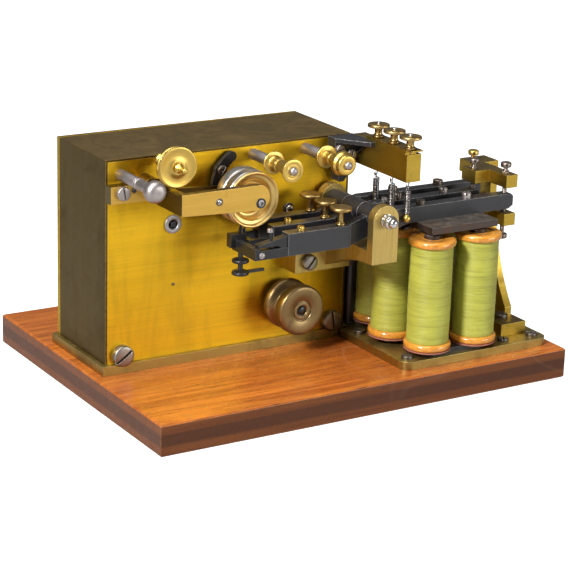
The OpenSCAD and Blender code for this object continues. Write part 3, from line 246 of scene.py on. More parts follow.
# Tones: body, streaks, tarnish, spots, rubbed edges. Dirt: scale and amount of tarnish, spots, dust
metals = {
    # caseBrass: painted reflection lays dark vertical runs over the plate
    "caseBrass": dict(
        tones=((0.8, 0.49, 0.022), (0.64, 0.375, 0.012), (0.4, 0.275, 0.02), (0.22, 0.13, 0.02),
            (0.92, 0.66, 0.16)),
        dirt=(14, 0.42, 0.35, 0), rough=0.33, stretch=(7, 7, 800), coat=0.05, coatRough=0.2, lineBump=0.5,
        edge=0.0006, grain=0.55, lineTone=0.3, reflectionSmear=0.7),
    # lacqueredBrass: painted shade darkens its faces that look up or to the left
    "lacqueredBrass": dict(
        tones=((0.8, 0.5, 0.11), (0.68, 0.4, 0.07), (0.42, 0.26, 0.045), (0.2, 0.12, 0.03),
            (0.98, 0.76, 0.36)),
        dirt=(60, 0.35, 0.4, 0.05), rough=0.24, stretch=(40, 40, 2200), coat=0.1, lineTone=0.25,
        paintedShade=(0.1, 0.07, 0.018)),
    # agedBrass: faces that look up are darkened as painted shade
    "agedBrass": dict(
        tones=((0.52, 0.35, 0.055), (0.42, 0.275, 0.035), (0.22, 0.15, 0.022), (0.1, 0.06, 0.02),
            (0.9, 0.68, 0.28)),
        dirt=(55, 0.5, 0.6, 0.05), rough=0.33, stretch=(50, 50, 1900), coat=0.08, upper=(0.23, 0.17, 0.075),
        upperShare=0.7, lineTone=0.25),
    "earBrass": dict(
        tones=((0.6, 0.44, 0.15), (0.48, 0.34, 0.105), (0.36, 0.25, 0.07), (0.14, 0.09, 0.03),
            (0.96, 0.78, 0.42)),
        dirt=(40, 0.2, 0.35, 0.08), rough=0.37, stretch=(1100, 1100, 20), lineBump=0.4, lineTone=0.4),
    "plateBrass": dict(
        tones=((0.44, 0.33, 0.095), (0.33, 0.24, 0.06), (0.18, 0.125, 0.035), (0.07, 0.05, 0.02),
            (0.86, 0.66, 0.28)),
        dirt=(45, 0.6, 0.7, 0.2), rough=0.32, stretch=(60, 1800, 60), coat=0.08),
    "rollerBrass": dict(
        tones=((0.8, 0.58, 0.22), (0.72, 0.5, 0.17), (0.5, 0.34, 0.1), (0.2, 0.12, 0.04), (0.98, 0.84, 0.54)),
        dirt=(110, 0.12, 0.2, 0.03), rough=0.33, turned=True, wear=0.5),
    "knobBrass": dict(
        tones=((0.47, 0.32, 0.12), (0.36, 0.24, 0.08), (0.2, 0.13, 0.05), (0.08, 0.05, 0.02),
            (0.98, 0.8, 0.5)),
        dirt=(160, 0.6, 0.6, 0.2), rough=0.26, turned=True, edge=0.00035, wear=1),
    "wheelBrass": dict(
        tones=((0.78, 0.52, 0.16), (0.66, 0.42, 0.1), (0.36, 0.23, 0.06), (0.12, 0.08, 0.03),
            (0.95, 0.76, 0.42)),
        dirt=(70, 0.45, 0.4, 0.1), rough=0.3),
    # bronzedSheet: faces that look up are lightened as painted light
    "bronzedSheet": dict(
        tones=((0.16, 0.106, 0.028), (0.115, 0.074, 0.02), (0.08, 0.052, 0.017), (0.22, 0.15, 0.05),
            (0.66, 0.43, 0.1)),
        dirt=(14, 0.6, 0.25, 0), rough=0.38, upper=(0.34, 0.235, 0.095), upperShare=0.8,
        stretch=(900, 900, 14), edge=0.0006, wear=0.9),
    "bronzedPulley": dict(
        tones=((0.3, 0.21, 0.095), (0.22, 0.15, 0.065), (0.11, 0.075, 0.045), (0.05, 0.035, 0.02),
            (0.74, 0.56, 0.34)),
        dirt=(70, 0.55, 0.5, 0.15), rough=0.3, turned=True, edge=0.0006, wear=1),
    "steel": dict(
        tones=((0.5, 0.49, 0.48), (0.38, 0.37, 0.37), (0.2, 0.17, 0.14), (0.13, 0.08, 0.05),
            (0.85, 0.84, 0.82)),
        dirt=(150, 0.45, 0.5, 0.1), rough=0.2, stretch=(60, 60, 2200), edge=0.0003),
    "springSteel": dict(
        tones=((0.34, 0.32, 0.31), (0.22, 0.2, 0.19), (0.12, 0.1, 0.08), (0.1, 0.07, 0.05),
            (0.85, 0.84, 0.82)),
        dirt=(300, 0.45, 0.4, 0), rough=0.2, edge=0.0001),
    "darkScrews": dict(
        tones=((0.17, 0.145, 0.12), (0.12, 0.1, 0.085), (0.07, 0.05, 0.04), (0.04, 0.03, 0.02),
            (0.55, 0.5, 0.42)),
        dirt=(150, 0.6, 0.5, 0.25), rough=0.34, edge=0.0003, wear=0.9),
    "turnedBrass": dict(
        tones=((0.76, 0.53, 0.14), (0.64, 0.42, 0.09), (0.4, 0.26, 0.05), (0.2, 0.12, 0.03),
            (0.98, 0.82, 0.46)),
        dirt=(120, 0.3, 0.35, 0.03), rough=0.29, turned=True, lineBump=0.35, edge=0.0003),
    "silveredTread": dict(
        tones=((0.62, 0.58, 0.53), (0.5, 0.46, 0.42), (0.34, 0.29, 0.24), (0.22, 0.17, 0.12),
            (0.92, 0.9, 0.86)),
        dirt=(130, 0.4, 0.4, 0.1), rough=0.24, turned=True, edge=0.0003),
    "postSteel": dict(
        tones=((0.54, 0.49, 0.47), (0.3, 0.26, 0.245), (0.3, 0.25, 0.22), (0.14, 0.1, 0.08),
            (0.95, 0.93, 0.9)),
        dirt=(170, 0.4, 0.6, 0.03), rough=0.38, turned=True, lineBump=0.4, edge=0.0003),
    "screwSteel": dict(
        tones=((0.4, 0.37, 0.33), (0.28, 0.26, 0.23), (0.17, 0.14, 0.1), (0.1, 0.07, 0.04),
            (0.86, 0.82, 0.74)),
        dirt=(220, 0.6, 0.7, 0.08), rough=0.3, wear=1),
    "bushSteel": dict(
        tones=((0.44, 0.43, 0.42), (0.36, 0.35, 0.35), (0.26, 0.25, 0.24), (0.14, 0.13, 0.12),
            (0.85, 0.84, 0.82)),
        dirt=(200, 0.4, 0.4, 0.1), rough=0.42, turned=True, edge=0.0003),
    "brightSteel": dict(
        tones=((0.68, 0.67, 0.66), (0.58, 0.57, 0.56), (0.34, 0.31, 0.28), (0.16, 0.12, 0.09),
            (0.95, 0.95, 0.94)),
        dirt=(180, 0.35, 0.4, 0.05), rough=0.14, turned=True, edge=0.0003),
    "wornSteel": dict(
        tones=((0.33, 0.27, 0.23), (0.24, 0.19, 0.16), (0.15, 0.1, 0.08), (0.08, 0.05, 0.04),
            (0.8, 0.74, 0.66)),
        dirt=(220, 0.55, 0.5, 0.1), rough=0.3, turned=True, wear=1),
    "softIron": dict(
        tones=((0.105, 0.085, 0.075), (0.075, 0.062, 0.056), (0.15, 0.08, 0.05), (0.18, 0.11, 0.08),
            (0.42, 0.36, 0.32)),
        dirt=(60, 0.5, 0.6, 0.35), rough=0.46, edge=0.0005, wear=0.7),
}
# frameBrass: painted shade darkens its top and left faces and, behind innerFrom, the whole inner arm
metals["frameBrass"] = dict(metals["lacqueredBrass"], innerFrom=-0.07, paintedShade=(0.06, 0.042, 0.014))
paint = {name: metalFinish(name, row) for name, row in metals.items()}
print("metals mixed")

lacquers = {
    "blackLacquer": dict(
        colour=(0.014, 0.014, 0.017), second=(0.024, 0.024, 0.027), bright=(0.46, 0.44, 0.42), rough=0.36,
        wear=1, coat=0.3, dust=0.04, edge=0.0006),
    "blackenedSteel": dict(
        colour=(0.008, 0.008, 0.009), second=(0.015, 0.014, 0.013), bright=(0.3, 0.28, 0.26), rough=0.3,
        wear=0.5, coat=0.2, dust=0.06, edge=0.0004),
}


def lacquerFinish(name, look):
    material, n, shader = newMaterial(name)
    dirt = n.group(stains, Scale=60, Amount=0.5, Spots=0.25, Dust=look["dust"])
    worn = n.group(edgeWear, Radius=look["edge"], Breakup=260)
    rubbed = n.times(worn["Worn"], look["wear"])
    # Rubbed edges in a bright tone: partly real wear, partly a painted highlight along the edges
    body = n.layers(look["colour"], (dirt["Tarnish"], look["second"]), (rubbed, look["bright"]),
        (dirt["Dust"], (0.3, 0.285, 0.26)))
    rough = n.plus(look["rough"], n.times(dirt["Touch"], 0.12), n.times(dirt["Dust"], 0.3))
    n.feed(shader, {"Base Color": body, "Roughness": rough,
                    "Metallic": n.times(worn["Worn"], look["wear"] * 0.6),
                    "Normal": n.bump(0.2, 0.0001, n.cloud(420, 3, 0.5), worn["Normal"]),
                    "Coat Weight": look["coat"], "Coat Roughness": 0.22})
    return material


# side is painted shade on the edge of the board; the band colour is a painted reflection across that edge
mahogany = dict(light=(0.6, 0.178, 0.022), middle=(0.35, 0.082, 0.01), dark=(0.11, 0.03, 0.007),
    pore=(0.04, 0.012, 0.006), side=(0.085, 0.024, 0.005), reflectionBand=(0.045, 0.013, 0.004),
    rubbed=(0.5, 0.24, 0.11), scratched=(0.55, 0.35, 0.22), dust=(0.45, 0.38, 0.3), rough=0.25,
    sideShadeShare=0.85, reflectionBandShare=0.72, rubbedShare=0.55, scratchedShare=0.05)


def mahoganyFinish():
    look = mahogany
    material, n, shader = newMaterial("mahogany")
    place = n.place()
    # Growth rings seen along the board, drawn out along x and gently waved
    sway = n.cloud((3, 9, 9), 3, 0.5)
    figure = n.cloud((7, 110, 110), 5, 0.6, 1.3)
    fine = n.cloud((16, 700, 700), 4, 0.65)
    pores = n.remap(n.cloud((60, 1500, 1500), 2, 0.5), 0.6, 0.7)
    # Painted shade darkens the edge of the board; a painted reflection band darkens it most of all between
    # its upper and lower borders
    sideways = n.remap(n.calc("ABSOLUTE", n.parts(n.normal())[2]), 0.8, 0.3)
    height = n.parts(place)[2]
    reflectionBand = n.times(n.remap(height, 0.0165, 0.015), n.remap(height, 0.0062, 0.008))
    worn = n.group(edgeWear, Radius=0.0012, Breakup=120)
    waves = {"Vector": place, "Scale": 3, "Distortion": 26, "Detail": 3, "Detail Scale": 1.3}
    scratch = n.put("ShaderNodeTexWave", waves, bands_direction="DIAGONAL").outputs["Fac"]
    scratch = n.times(n.remap(scratch, 0.012, 0), n.remap(sway, 0.45, 0.6))
    dirt = n.group(stains, Scale=25, Amount=0.4, Spots=0.5, Dust=0.03)
    tone = n.layers(
        look["middle"],
        (n.remap(figure, 0.36, 0.6), look["light"]),
        (n.remap(sway, 0.42, 0.7, 0, 0.75), look["middle"]),
        (n.remap(fine, 0.38, 0.72, 0, 0.65), look["dark"]),
        (n.times(pores, 0.8), look["pore"]),
        (n.times(sideways, look["sideShadeShare"]), look["side"]),
        (n.times(n.times(reflectionBand, sideways), look["reflectionBandShare"]), look["reflectionBand"]),
        (n.times(worn["Worn"], look["rubbedShare"]), look["rubbed"]),
        (n.times(scratch, look["scratchedShare"]), look["scratched"]),
        (dirt["Dust"], look["dust"]))
    relief = n.calc("SUBTRACT", n.times(fine, 0.5), pores)
    n.feed(shader, {"Base Color": tone,
                    "Roughness": n.plus(look["rough"], n.times(dirt["Touch"], 0.1), n.times(scratch, 0.25)),
                    "Normal": n.bump(0.18, 0.00025, relief, worn["Normal"]),
                    "Specular IOR Level": 0.28, "Coat Weight": 0.06, "Coat Roughness": 0.14})
    return material


# Single layer of fine silk-covered wire, turn on turn, with a few stray pale turns and painted shade in the
# creases between turns
silk = dict(pitch=0.00052, green=(0.44, 0.435, 0.055), shade=(0.27, 0.265, 0.028), line=(0.185, 0.185, 0.018),
    faded=(0.5, 0.49, 0.13), pale=(0.66, 0.66, 0.34), gap=(0.1, 0.1, 0.015), sheen=(0.75, 0.85, 0.4))


def silkFinish():
    material, n, shader = newMaterial("greenSilk")
    x, y, z = n.parts(n.place())
    turn = n.calc("DIVIDE", n.calc("ARCTAN2", y, x), 2 * math.pi)
    climb = n.plus(n.calc("DIVIDE", z, silk["pitch"]), turn)
    thread = n.calc("ABSOLUTE", n.calc("SUBTRACT", n.calc("FRACT", climb), 0.5))
    thread = n.calc("SUBTRACT", 1, n.times(n.calc("POWER", thread, 2), 4))
    layer = n.put("ShaderNodeTexWhiteNoise", {"W": n.calc("FLOOR", climb)}, noise_dimensions="1D").outputs[0]
    broad = n.cloud((30, 30, 55), 4, 0.6)
    lines = n.cloud((45, 45, 1100), 3, 0.65)
    tone = n.layers(
        silk["green"],
        (n.remap(broad, 0.35, 0.7, 0, 0.6), silk["shade"]),
        (n.remap(lines, 0.5, 0.68, 0, 0.6), silk["line"]),
        (n.remap(layer, 0.75, 1, 0, 0.3), silk["faded"]),
        (n.remap(layer, 0.985, 0.99, 0, 0.8), silk["pale"]),
        # Painted shade in the creases between the turns
        (n.remap(thread, 0.55, 0, 0, 0.55), silk["gap"]))
    fibre = n.cloud((3500, 3500, 9000), 2, 0.6)
    height = n.plus(thread, n.times(fibre, 0.3), n.times(layer, 0.35))
    n.feed(shader, {"Base Color": tone, "Roughness": n.remap(fibre, 0.3, 0.7, 0.42, 0.6),
                    "Normal": n.bump(0.55, 0.00018, height),
                    "Sheen Weight": 0.1, "Sheen Roughness": 0.4, "Sheen Tint": silk["sheen"]})
    return material


flange = dict(colour=(0.7, 0.3, 0.035), dark=(0.42, 0.15, 0.018), pale=(0.86, 0.5, 0.14),
    spot=(0.1, 0.035, 0.01), dust=(0.5, 0.42, 0.32))


def flangeFinish():
    material, n, shader = newMaterial("orangeFlange")
    dirt = n.group(stains, Scale=90, Amount=0.5, Spots=0.3, Dust=0.04)
    worn = n.group(edgeWear, Radius=0.0006, Breakup=200)
    grain = n.cloud((60, 420, 420), 4, 0.6, 0.6)
    tone = n.layers(flange["colour"], (n.remap(grain, 0.35, 0.7), flange["dark"]),
        (n.times(dirt["Tarnish"], 0.5), flange["colour"]), (n.times(worn["Worn"], 0.5), flange["pale"]),
        (dirt["Spots"], flange["spot"]), (dirt["Dust"], flange["dust"]))
    n.feed(shader, {"Base Color": tone, "Roughness": n.plus(0.18, n.times(dirt["Touch"], 0.12)),
                    "Normal": n.bump(0.12, 0.0002, grain, worn["Normal"]),
                    "Coat Weight": 0.6, "Coat Roughness": 0.12})
    return material


def fibreFinish():
    material, n, shader = newMaterial("redFibre")
    mottle = n.cloud(500, 5, 0.7)
    n.feed(shader, {"Base Color": n.mix(n.remap(mottle, 0.35, 0.7), (0.42, 0.16, 0.11), (0.26, 0.08, 0.05)),
                    "Roughness": n.remap(mottle, 0.3, 0.7, 0.5, 0.75), "Normal": n.bump(0.3, 0.0001, mottle)})
    return material


paint.update({name: lacquerFinish(name, look) for name, look in lacquers.items()})
paint.update({"mahogany": mahoganyFinish(), "greenSilk": silkFinish(), "orangeFlange": flangeFinish(),
    "redFibre": fibreFinish()})
print("materials ready:", len(paint))


# Mesh helpers, sizes in millimetres
def makePiece(name, mesh, finish, body, place, replaced=None, sharp=35, slot=None):
    mesh.shade_smooth()
    mesh.set_sharp_from_angle(angle=math.radians(sharp))
    piece = bpy.data.objects.new(name, mesh)
    scene.collection.objects.link(piece)
    piece.matrix_world = place
    mesh.materials.append(paint[finish])
    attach(piece, body)
    if replaced:
        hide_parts(replaced)
    return piece


def fromLists(name, points, faces):
    mesh = bpy.data.meshes.new(name)
    mesh.from_pydata([Vector(p) * 0.001 for p in points], [], faces)
    mesh.validate()
    mesh.update()
    return mesh


def bridge(low, high):
    # Faces between two rings of points; a ring of one point is an end of the axis
    count = max(len(low), len(high))
    faces = []
    for step in range(count):
        after = (step + 1) % count
        corners = (low[step % len(low)], low[after % len(low)], high[after % len(high)],
            high[step % len(high)])
        faces.append(tuple(dict.fromkeys(corners)))
    return faces if count > 1 else []


def turnedMesh(name, profile, steps, knurl=None):
    # profile: (radius, height) pairs; knurl: first ring, last ring and depth
    first, last, depth = knurl or (0, -1, 0)
    points = []
    rings = []
    for index, (radius, height) in enumerate(profile):
        rings.append([])
        for step in range(steps if radius > 1e-6 else 1):
            reach = radius - depth if first <= index <= last and step % 2 else radius
            angle = 2 * math.pi * step / steps
            rings[-1].append(len(points))
            points.append((reach * math.cos(angle), reach * math.sin(angle), height))
    faces = [face for low, high in zip(rings, rings[1:]) for face in bridge(low, high)]
    if len(rings[0]) > 1:
        faces += bridge(rings[-1], rings[0])
    return fromLists(name, points, faces)


def turnPiece(name, profile, steps, finish, body, place, replaced=None, knurl=None, **more):
    return makePiece(name, turnedMesh(name, profile, steps, knurl), finish, body, place, replaced, **more)


def inset(radius, pairs):
    # Points given by how far they lie inside a radius
    return [(radius - depth, height) for depth, height in pairs]


def bored(bore, bottom, top, outline):
    return [(bore, bottom), *outline, (bore, top), (bore, bottom)]


def standing(x, y, z):
    return Matrix.Translation(Vector((x, y, z)) * 0.001)


def facing(x, y, z):
    # The piece's own axis points to the front
    return standing(x, y, z) @ Matrix.Rotation(math.pi / 2, 4, "X")


def tubeMesh(name, path, radius, sides):
    points = [Vector(p) for p in path]
    rings = []
    out = []
    across = None
    for index, point in enumerate(points):
        ahead = points[min(index + 1, len(points) - 1)] - points[max(index - 1, 0)]
        ahead.normalize()
        if across is None:
            across = ahead.orthogonal().normalized()
        across = (across - ahead * across.dot(ahead)).normalized()
        other = ahead.cross(across)
        rings.append([])
        for side in range(sides):
            angle = 2 * math.pi * side / sides
            rings[-1].append(len(out))
            out.append(point + across * (radius * math.cos(angle)) + other * (radius * math.sin(angle)))
    faces = [face for low, high in zip(rings, rings[1:]) for face in bridge(low, high)]
    faces += [tuple(reversed(rings[0])), tuple(rings[-1])]
    return fromLists(name, out, faces)


def limits(node):
    low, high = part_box(node)
    return low * 1000, high * 1000


def middle(node):
    low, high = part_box(node)
    return (low + high) * 500


def onAxis(node, y=None):
    # On the node's own axis, from y or else from its rear end to the front
    low, high = limits(node)
    centre = (low + high) / 2
    return facing(centre.x, high.y if y is None else y, centre.z)


# Slotted screw head, cut once at a radius and height of 1000 and scaled for each place
slottedHead = dict(profile=[(0, 0), (1000, 0), (1000, 780), (960, 900), (880, 970), (700, 1010), (0, 1060)],
    top=1060, slot=130, depth=620)


def cutHead():
    slot, top = slottedHead["slot"], slottedHead["top"]
    plan = ((-2000, -slot), (2000, -slot), (2000, slot), (-2000, slot))
    corners = [(x, y, z) for z in (top - slottedHead["depth"], top + 500) for x, y in plan]
    sides = [(0, 3, 2, 1), (4, 5, 6, 7), (0, 1, 5, 4), (1, 2, 6, 5), (2, 3, 7, 6), (3, 0, 4, 7)]
    solid = bpy.data.objects.new("cheeseHead", turnedMesh("cheeseHead", slottedHead["profile"], 64))
    cutter = bpy.data.objects.new("slotCutter", fromLists("slotCutter", corners, sides))
    for item in (solid, cutter):
        scene.collection.objects.link(item)
    cut = solid.modifiers.new("slot", "BOOLEAN")
    cut.operation = "DIFFERENCE"
    cut.object = cutter
    cut.solver = "EXACT"
    bpy.context.view_layer.update()
    finished = bpy.data.meshes.new_from_object(solid.evaluated_get(bpy.context.evaluated_depsgraph_get()))
    for spare in (solid, cutter):
        bpy.data.objects.remove(spare)
    finished.name = "cheeseHead"
    return finished


cheeseHead = cutHead()


def addScrew(name, place, radius, height, turn, finish, body, replaced=None, slot=None):
    size = Matrix.Diagonal((radius / 1000, radius / 1000, height / 1000, 1))
    turned = place @ Matrix.Rotation(math.radians(turn), 4, "Z") @ size
    makePiece(name, cheeseHead.copy(), finish, body, turned, replaced, slot=slot)


print("helpers ready")

# Every CAD node that keeps its own shape: merged, smoothed by angle and dressed
dress = {
    "mahogany": ["base_board"],
    "caseBrass": ["case_front_plate", "case_back_plate"],
    "plateBrass": ["case_foot_plate", "magnet_plate"],
    "bronzedSheet": ["case_cover"],
    "frameBrass": ["swing_frame"],
    "lacqueredBrass": ["pivot_block", "disc_roller", "guide_roller_mid", "guide_roller_right"],
    "earBrass": ["lever_bracket"],
    "agedBrass": ["spring_bar", "stop_post", "stop_bars", "case_pillars"],
    "steel": ["tape_posts", "pivot_axle", "mounting_screws", "front_plate_screws", "frame_spindles",
              "drive_arbor", "spring_hooks"],
    "darkScrews": ["magnet_plate_screws", "stop_screws"],
    "knobBrass": [kind + title for kind in ("thumb_screw_", "spring_knob_") for title in trio],
    "wheelBrass": ["mainspring_barrel", "second_arbor", "third_arbor", "fourth_arbor"],
    "rollerBrass": ["tape_roller"],
    "bronzedPulley": ["drive_pulley"],
    "springSteel": ["mainspring", "governor"] + ["spring_" + title for title in trio],
    "softIron": ["magnet_cores"] + ["armature_" + title for title in trio],
    "blackLacquer": ["spring_bracket"] + ["lever_" + title for title in trio],
    # winding_arbor is blackened so the hole of the winding bush looks dark: painted shade
    "blackenedSteel": ["start_stop_lever", "plate_bushes", "magnet_yokes", "winding_arbor"]
                      + ["style_" + title for title in trio],
    "greenSilk": ["coil_windings"],
    "orangeFlange": ["coil_bobbins"],
    "redFibre": ["coil_washers"],
}
smoothing = dict(mergeWithin=0.000001, sharpAbove=32)


def buildSmoothing():
    # Merges the split corners of a CAD mesh and shades it smooth below the sharp angle
    tree = bpy.data.node_groups.new("smoothCad", "GeometryNodeTree")
    for way in ("INPUT", "OUTPUT"):
        tree.interface.new_socket(name="Geometry", in_out=way, socket_type="NodeSocketGeometry")
    n = NodeMaker(tree)
    angle = n.put("GeometryNodeInputMeshEdgeAngle").outputs[0]
    steep = n.put("FunctionNodeCompare", {0: angle, 1: math.radians(smoothing["sharpAbove"])},
        operation="GREATER_THAN").outputs[0]
    shape = n.put("NodeGroupInput").outputs[0]
    shape = n.put("GeometryNodeRemoveAttribute", {"Geometry": shape, "Name": "custom_normal"}).outputs[0]
    merging = {"Geometry": shape, "Distance": smoothing["mergeWithin"]}
    shape = n.put("GeometryNodeMergeByDistance", merging).outputs[0]
    shape = n.put("GeometryNodeSetShadeSmooth", {"Geometry": shape}).outputs[0]
    edges = {"Geometry": shape, "Selection": steep, "Shade Smooth": False}
    n.put("NodeGroupOutput", {0: n.put("GeometryNodeSetShadeSmooth", edges, domain="EDGE").outputs[0]})
    return tree


smoothCad = buildSmoothing()
for finish, members in dress.items():
    for node in members:
        nodes[node].data.materials.clear()
        nodes[node].data.materials.append(paint[finish])
        nodes[node].modifiers.new("smoothCad", "NODES").node_group = smoothCad
print("CAD nodes dressed")

# Tape roller: silvered tread in two bands, dished brass face with a raised ring
tapeRoller = dict(tread=20, bore=2.55, silverFrom=19.05, silverTo=17.8)


def buildTapeRoller():
    rear = [(6, 1), (6.8, 1.8), (7.2, 6.3), (13.2, 6), (16.6, 4), (17.8, 2), (18.3, 0.4), (18.9, 0.05)]
    face = [(0.5, 0.12), (0.08, 0.6), (0, 1.2), (0, 8), (0.25, 8.4), (0.8, 8.7), (0.8, 9.7), (0.25, 10),
        (0, 10.4), (0, 16.3), (0.3, 16.7), (0.9, 16.9), (0.9, 17.6), (0.35, 17.9), (0.05, 18.3), (0.05, 19.3),
        (0.35, 19.8), (0.9, 20), (1.5, 19.8), (1.9, 19.2), (2.3, 18.7), (3, 18.45), (4.6, 18.3), (5, 18),
        (5.5, 16.6), (6.4, 14.9), (7.6, 13.8), (8.6, 13.6), (9.4, 14.2), (10.2, 15.1), (11, 15.3),
        (11.8, 14.9), (12.4, 13.9), (13.1, 13.3), (13.7, 13.6), (14, 14.4), (14.2, 18.5), (14.6, 19)]
    profile = bored(tapeRoller["bore"], 1, 19, rear + inset(tapeRoller["tread"], face))
    roller = turnPiece("tapeRoller", profile, 160, "rollerBrass", "tape_roller", onAxis("tape_roller"),
        "tape_roller")
    roller.data.materials.append(paint["silveredTread"])
    for side in roller.data.polygons:
        reach = math.hypot(side.center.x, side.center.y) * 1000
        if reach > tapeRoller["silverFrom"] and side.center.z * 1000 < tapeRoller["silverTo"]:
            side.material_index = 1


buildTapeRoller()

# Flanged disc that guides the tape, and the spindles and pins of the swinging frame
discRoller = dict(radius=14.5, bore=2.05)
swingFrame = dict(rear=-38.5, front=-76, pinAt=(-99.2, -76, 154.1), pinCollar=0.72)


def buildDiscRoller():
    rim = [(1.4, 8.9), (0.8, 9.1), (0.55, 9.5), (0.55, 10.6), (0.8, 11), (1.6, 11.4), (1.7, 11.9),
        (1.7, 12.9), (1.5, 13.3), (0.5, 13.5), (0.1, 13.8), (0, 14.2), (0.1, 14.7), (0.5, 14.95), (1.3, 15),
        (1.9, 14.75), (6, 14.7)]
    outline = [(4.6, 0), (5, 0.4), (5, 7.6), (5.6, 8.1)] + inset(discRoller["radius"], rim)
    outline += [(6.2, 14.75), (5.8, 15), (4.2, 15)]
    turnPiece("tapeDisc", bored(discRoller["bore"], 0, 15, outline), 128, "turnedBrass", "disc_roller",
        onAxis("disc_roller"), "disc_roller")
    spindle = [(0, 0), (2.6, 0), (3.8, 0.4), (4.5, 1.4), (4.6, 2.6), (4.2, 3.7), (3.2, 4.7), (2.7, 5.4),
        (2.6, 8), (2, 8.1), (2, 27.9), (2.9, 28), (3.4, 28.3), (3.5, 29.2), (3, 30), (2.4, 30.4), (1.9, 31.2),
        (1.9, 32), (1.5, 32.4), (1.5, 35.6), (1.9, 36), (1.9, 37.2), (1.3, 37.8), (0, 38)]
    rear = limits("frame_spindles")[1].y
    turnPiece("discSpindle", spindle, 64, "turnedBrass", "swing_frame", onAxis("disc_roller", rear),
        "frame_spindles")
    axle = [(0, 0), (2.1, 0), (2.5, 0.4), (2.5, 37.9), (2.2, 38.4), (1.5, 38.5), (1.3, 37.8), (1.2, 36.8),
        (0, 36.6)]
    turnPiece("rollerAxle", axle, 48, "steel", "swing_frame", onAxis("tape_roller", swingFrame["rear"]),
        "frame_spindles")
    collar = bored(2.55, 0, 0.4, [(3.7, 0), (3.7, 0.35), (3.4, 0.55), (2.8, 0.55)])
    atFront = onAxis("tape_roller", swingFrame["front"])
    turnPiece("axleCollar", collar, 48, "blackenedSteel", "swing_frame", atFront)
    atPin = facing(*swingFrame["pinAt"])
    smaller = Matrix.Scale(swingFrame["pinCollar"], 4)
    turnPiece("barPinCollar", collar, 48, "darkScrews", "swing_frame", atPin @ smaller)
    pin = [(0, 0), (1.85, 0), (1.85, 0.5), (1.6, 1), (1, 1.35), (0, 1.45)]
    turnPiece("barPin", pin, 40, "steel", "swing_frame", atPin)


buildDiscRoller()

# Small flanged rollers and the three steel posts that carry the tape
guideRollers = dict(flange=8.3, waist=4.7, bore=3.05, ball=7.7)


def buildGuides():
    rim, waist, bore, ball = guideRollers.values()
    collar = inset(rim, [(0.8, 0), (0.2, 0.2), (0, 0.7), (0, 1.4), (0.3, 1.8)]) + [(6, 2.2)]
    spool = [(waist + 0.5, 2.7), (waist, 3.5), (waist, 9), (waist - 0.6, 9.3), (waist - 0.6, 15),
        (waist, 15.3), (waist, 23.5), (waist + 0.4, 24.3), (6.2, 24.8)]
    spool += inset(rim, [(0.3, 25.2), (0, 25.6), (0, 26.3), (0.2, 26.8), (0.8, 27)])
    spool += [(6.2, 27), (5.8, 26.6), (4.8, 26.5), (4.4, 26.9), (3.6, 27)]
    knob = [(4.8, 2.8), (4.4, 3.6), (4.4, 9), (4, 9.3), (4, 14), (4.4, 14.4), (4.5, 15.8), (6, 17), (8, 19),
        (8.5, 19.7), (8.8, 20.4), (8.8, 23), (8.5, 23.7), (7.5, 24.6), (7.4, 24.9), (7.4, 27.6), (7.2, 28.2),
        (6.4, 28.9), (5.9, 29), (3.4, 29)]
    for title, top, outline in (("Mid", 26.9, spool), ("Right", 28.9, knob)):
        node = "guide_roller_" + title.lower()
        turnPiece("tapeRoller" + title, bored(bore, 0, top, collar + outline), 112, "turnedBrass", node,
            onAxis(node), node)
    low, high = limits("tape_posts")
    profile = [(0, 0), (3.9, 0), (3.9, 25.6), (3.6, 26.2), (3, 26.4), (3, 27.2), (4.1, 27.4), (4.3, 27.8),
        (4.3, 29), (4, 29.3), (4, 41.6), (4.2, 42.8), (4.9, 44.2), (6, 45.6), (7, 47.2), (7.55, 48.8),
        (ball, 50.4), (7.6, 51.8), (7.2, 53.2), (6.4, 54.4), (5.2, 55.3), (3.6, 55.8), (1.8, 56), (0, 56)]
    turnPiece("ballPost", profile, 96, "postSteel", "frame", facing(low.x + ball, high.y, low.z + ball),
        "tape_posts")
    tip = [(3, 55.4), (2.8, 56.2), (2, 57), (0.9, 57.4), (0, 57.5)]
    for title, longer in (("Mid", 0), ("Right", 2)):
        rod = [(0, 0), (4, 0), (4, 26.5), (3.75, 26.95), (3, 27)]
        rod += [(radius, at + longer) for radius, at in tip]
        place = onAxis("guide_roller_" + title.lower(), high.y)
        turnPiece("post" + title, rod, 72, "postSteel", "frame", place, "tape_posts")


buildGuides()
print("rollers and posts turned")

# Drive pulley with a flat face, its hub sunk round the dark end of the shaft
pulley = dict(flange=18.5, neck=12.5, length=26, bore=3.8)


def buildPulley():
    r, neck, long, bore = pulley.values()
    outline = inset(r, [(3.2, 0), (1.6, 0.5), (0.6, 1.4), (0, 3), (0, 5.8), (0.5, 6.9), (1.6, 7.9)])
    outline += [(neck + 2.2, 9), (neck + 0.8, 10), (neck, 11.4)]
    ahead = [(neck, 12.8), (neck + 0.7, 11.4), (neck + 2, 10.3)]
    ahead += inset(r, [(1.4, 9.4), (0.4, 8.5), (0, 7.6), (0, 1.9), (0.25, 1), (0.8, 0.35), (1.7, 0.1),
        (3.2, 0)])
    ahead += [(8.2, 0), (7.8, 0.25), (7.5, 1.2), (7, 1.3), (6.8, 0.8), (6.4, 0.5), (4.6, 0.45), (4.2, 0.9)]
    outline += [(radius, long - behind) for radius, behind in ahead]
    turnPiece("drivePulley", bored(bore, 0, long - 1.2, outline), 160, "bronzedPulley", "drive_arbor",
        onAxis("drive_pulley"), "drive_pulley")
    button = [(0, 0), (3.6, 0), (3.6, 0.7), (3.3, 1.3), (2.5, 1.9), (1.3, 2.25), (0, 2.35)]
    turnPiece("pulleyButton", button, 48, "blackenedSteel", "drive_arbor",
        onAxis("drive_pulley", limits("drive_arbor")[0].y + 0.9))


buildPulley()

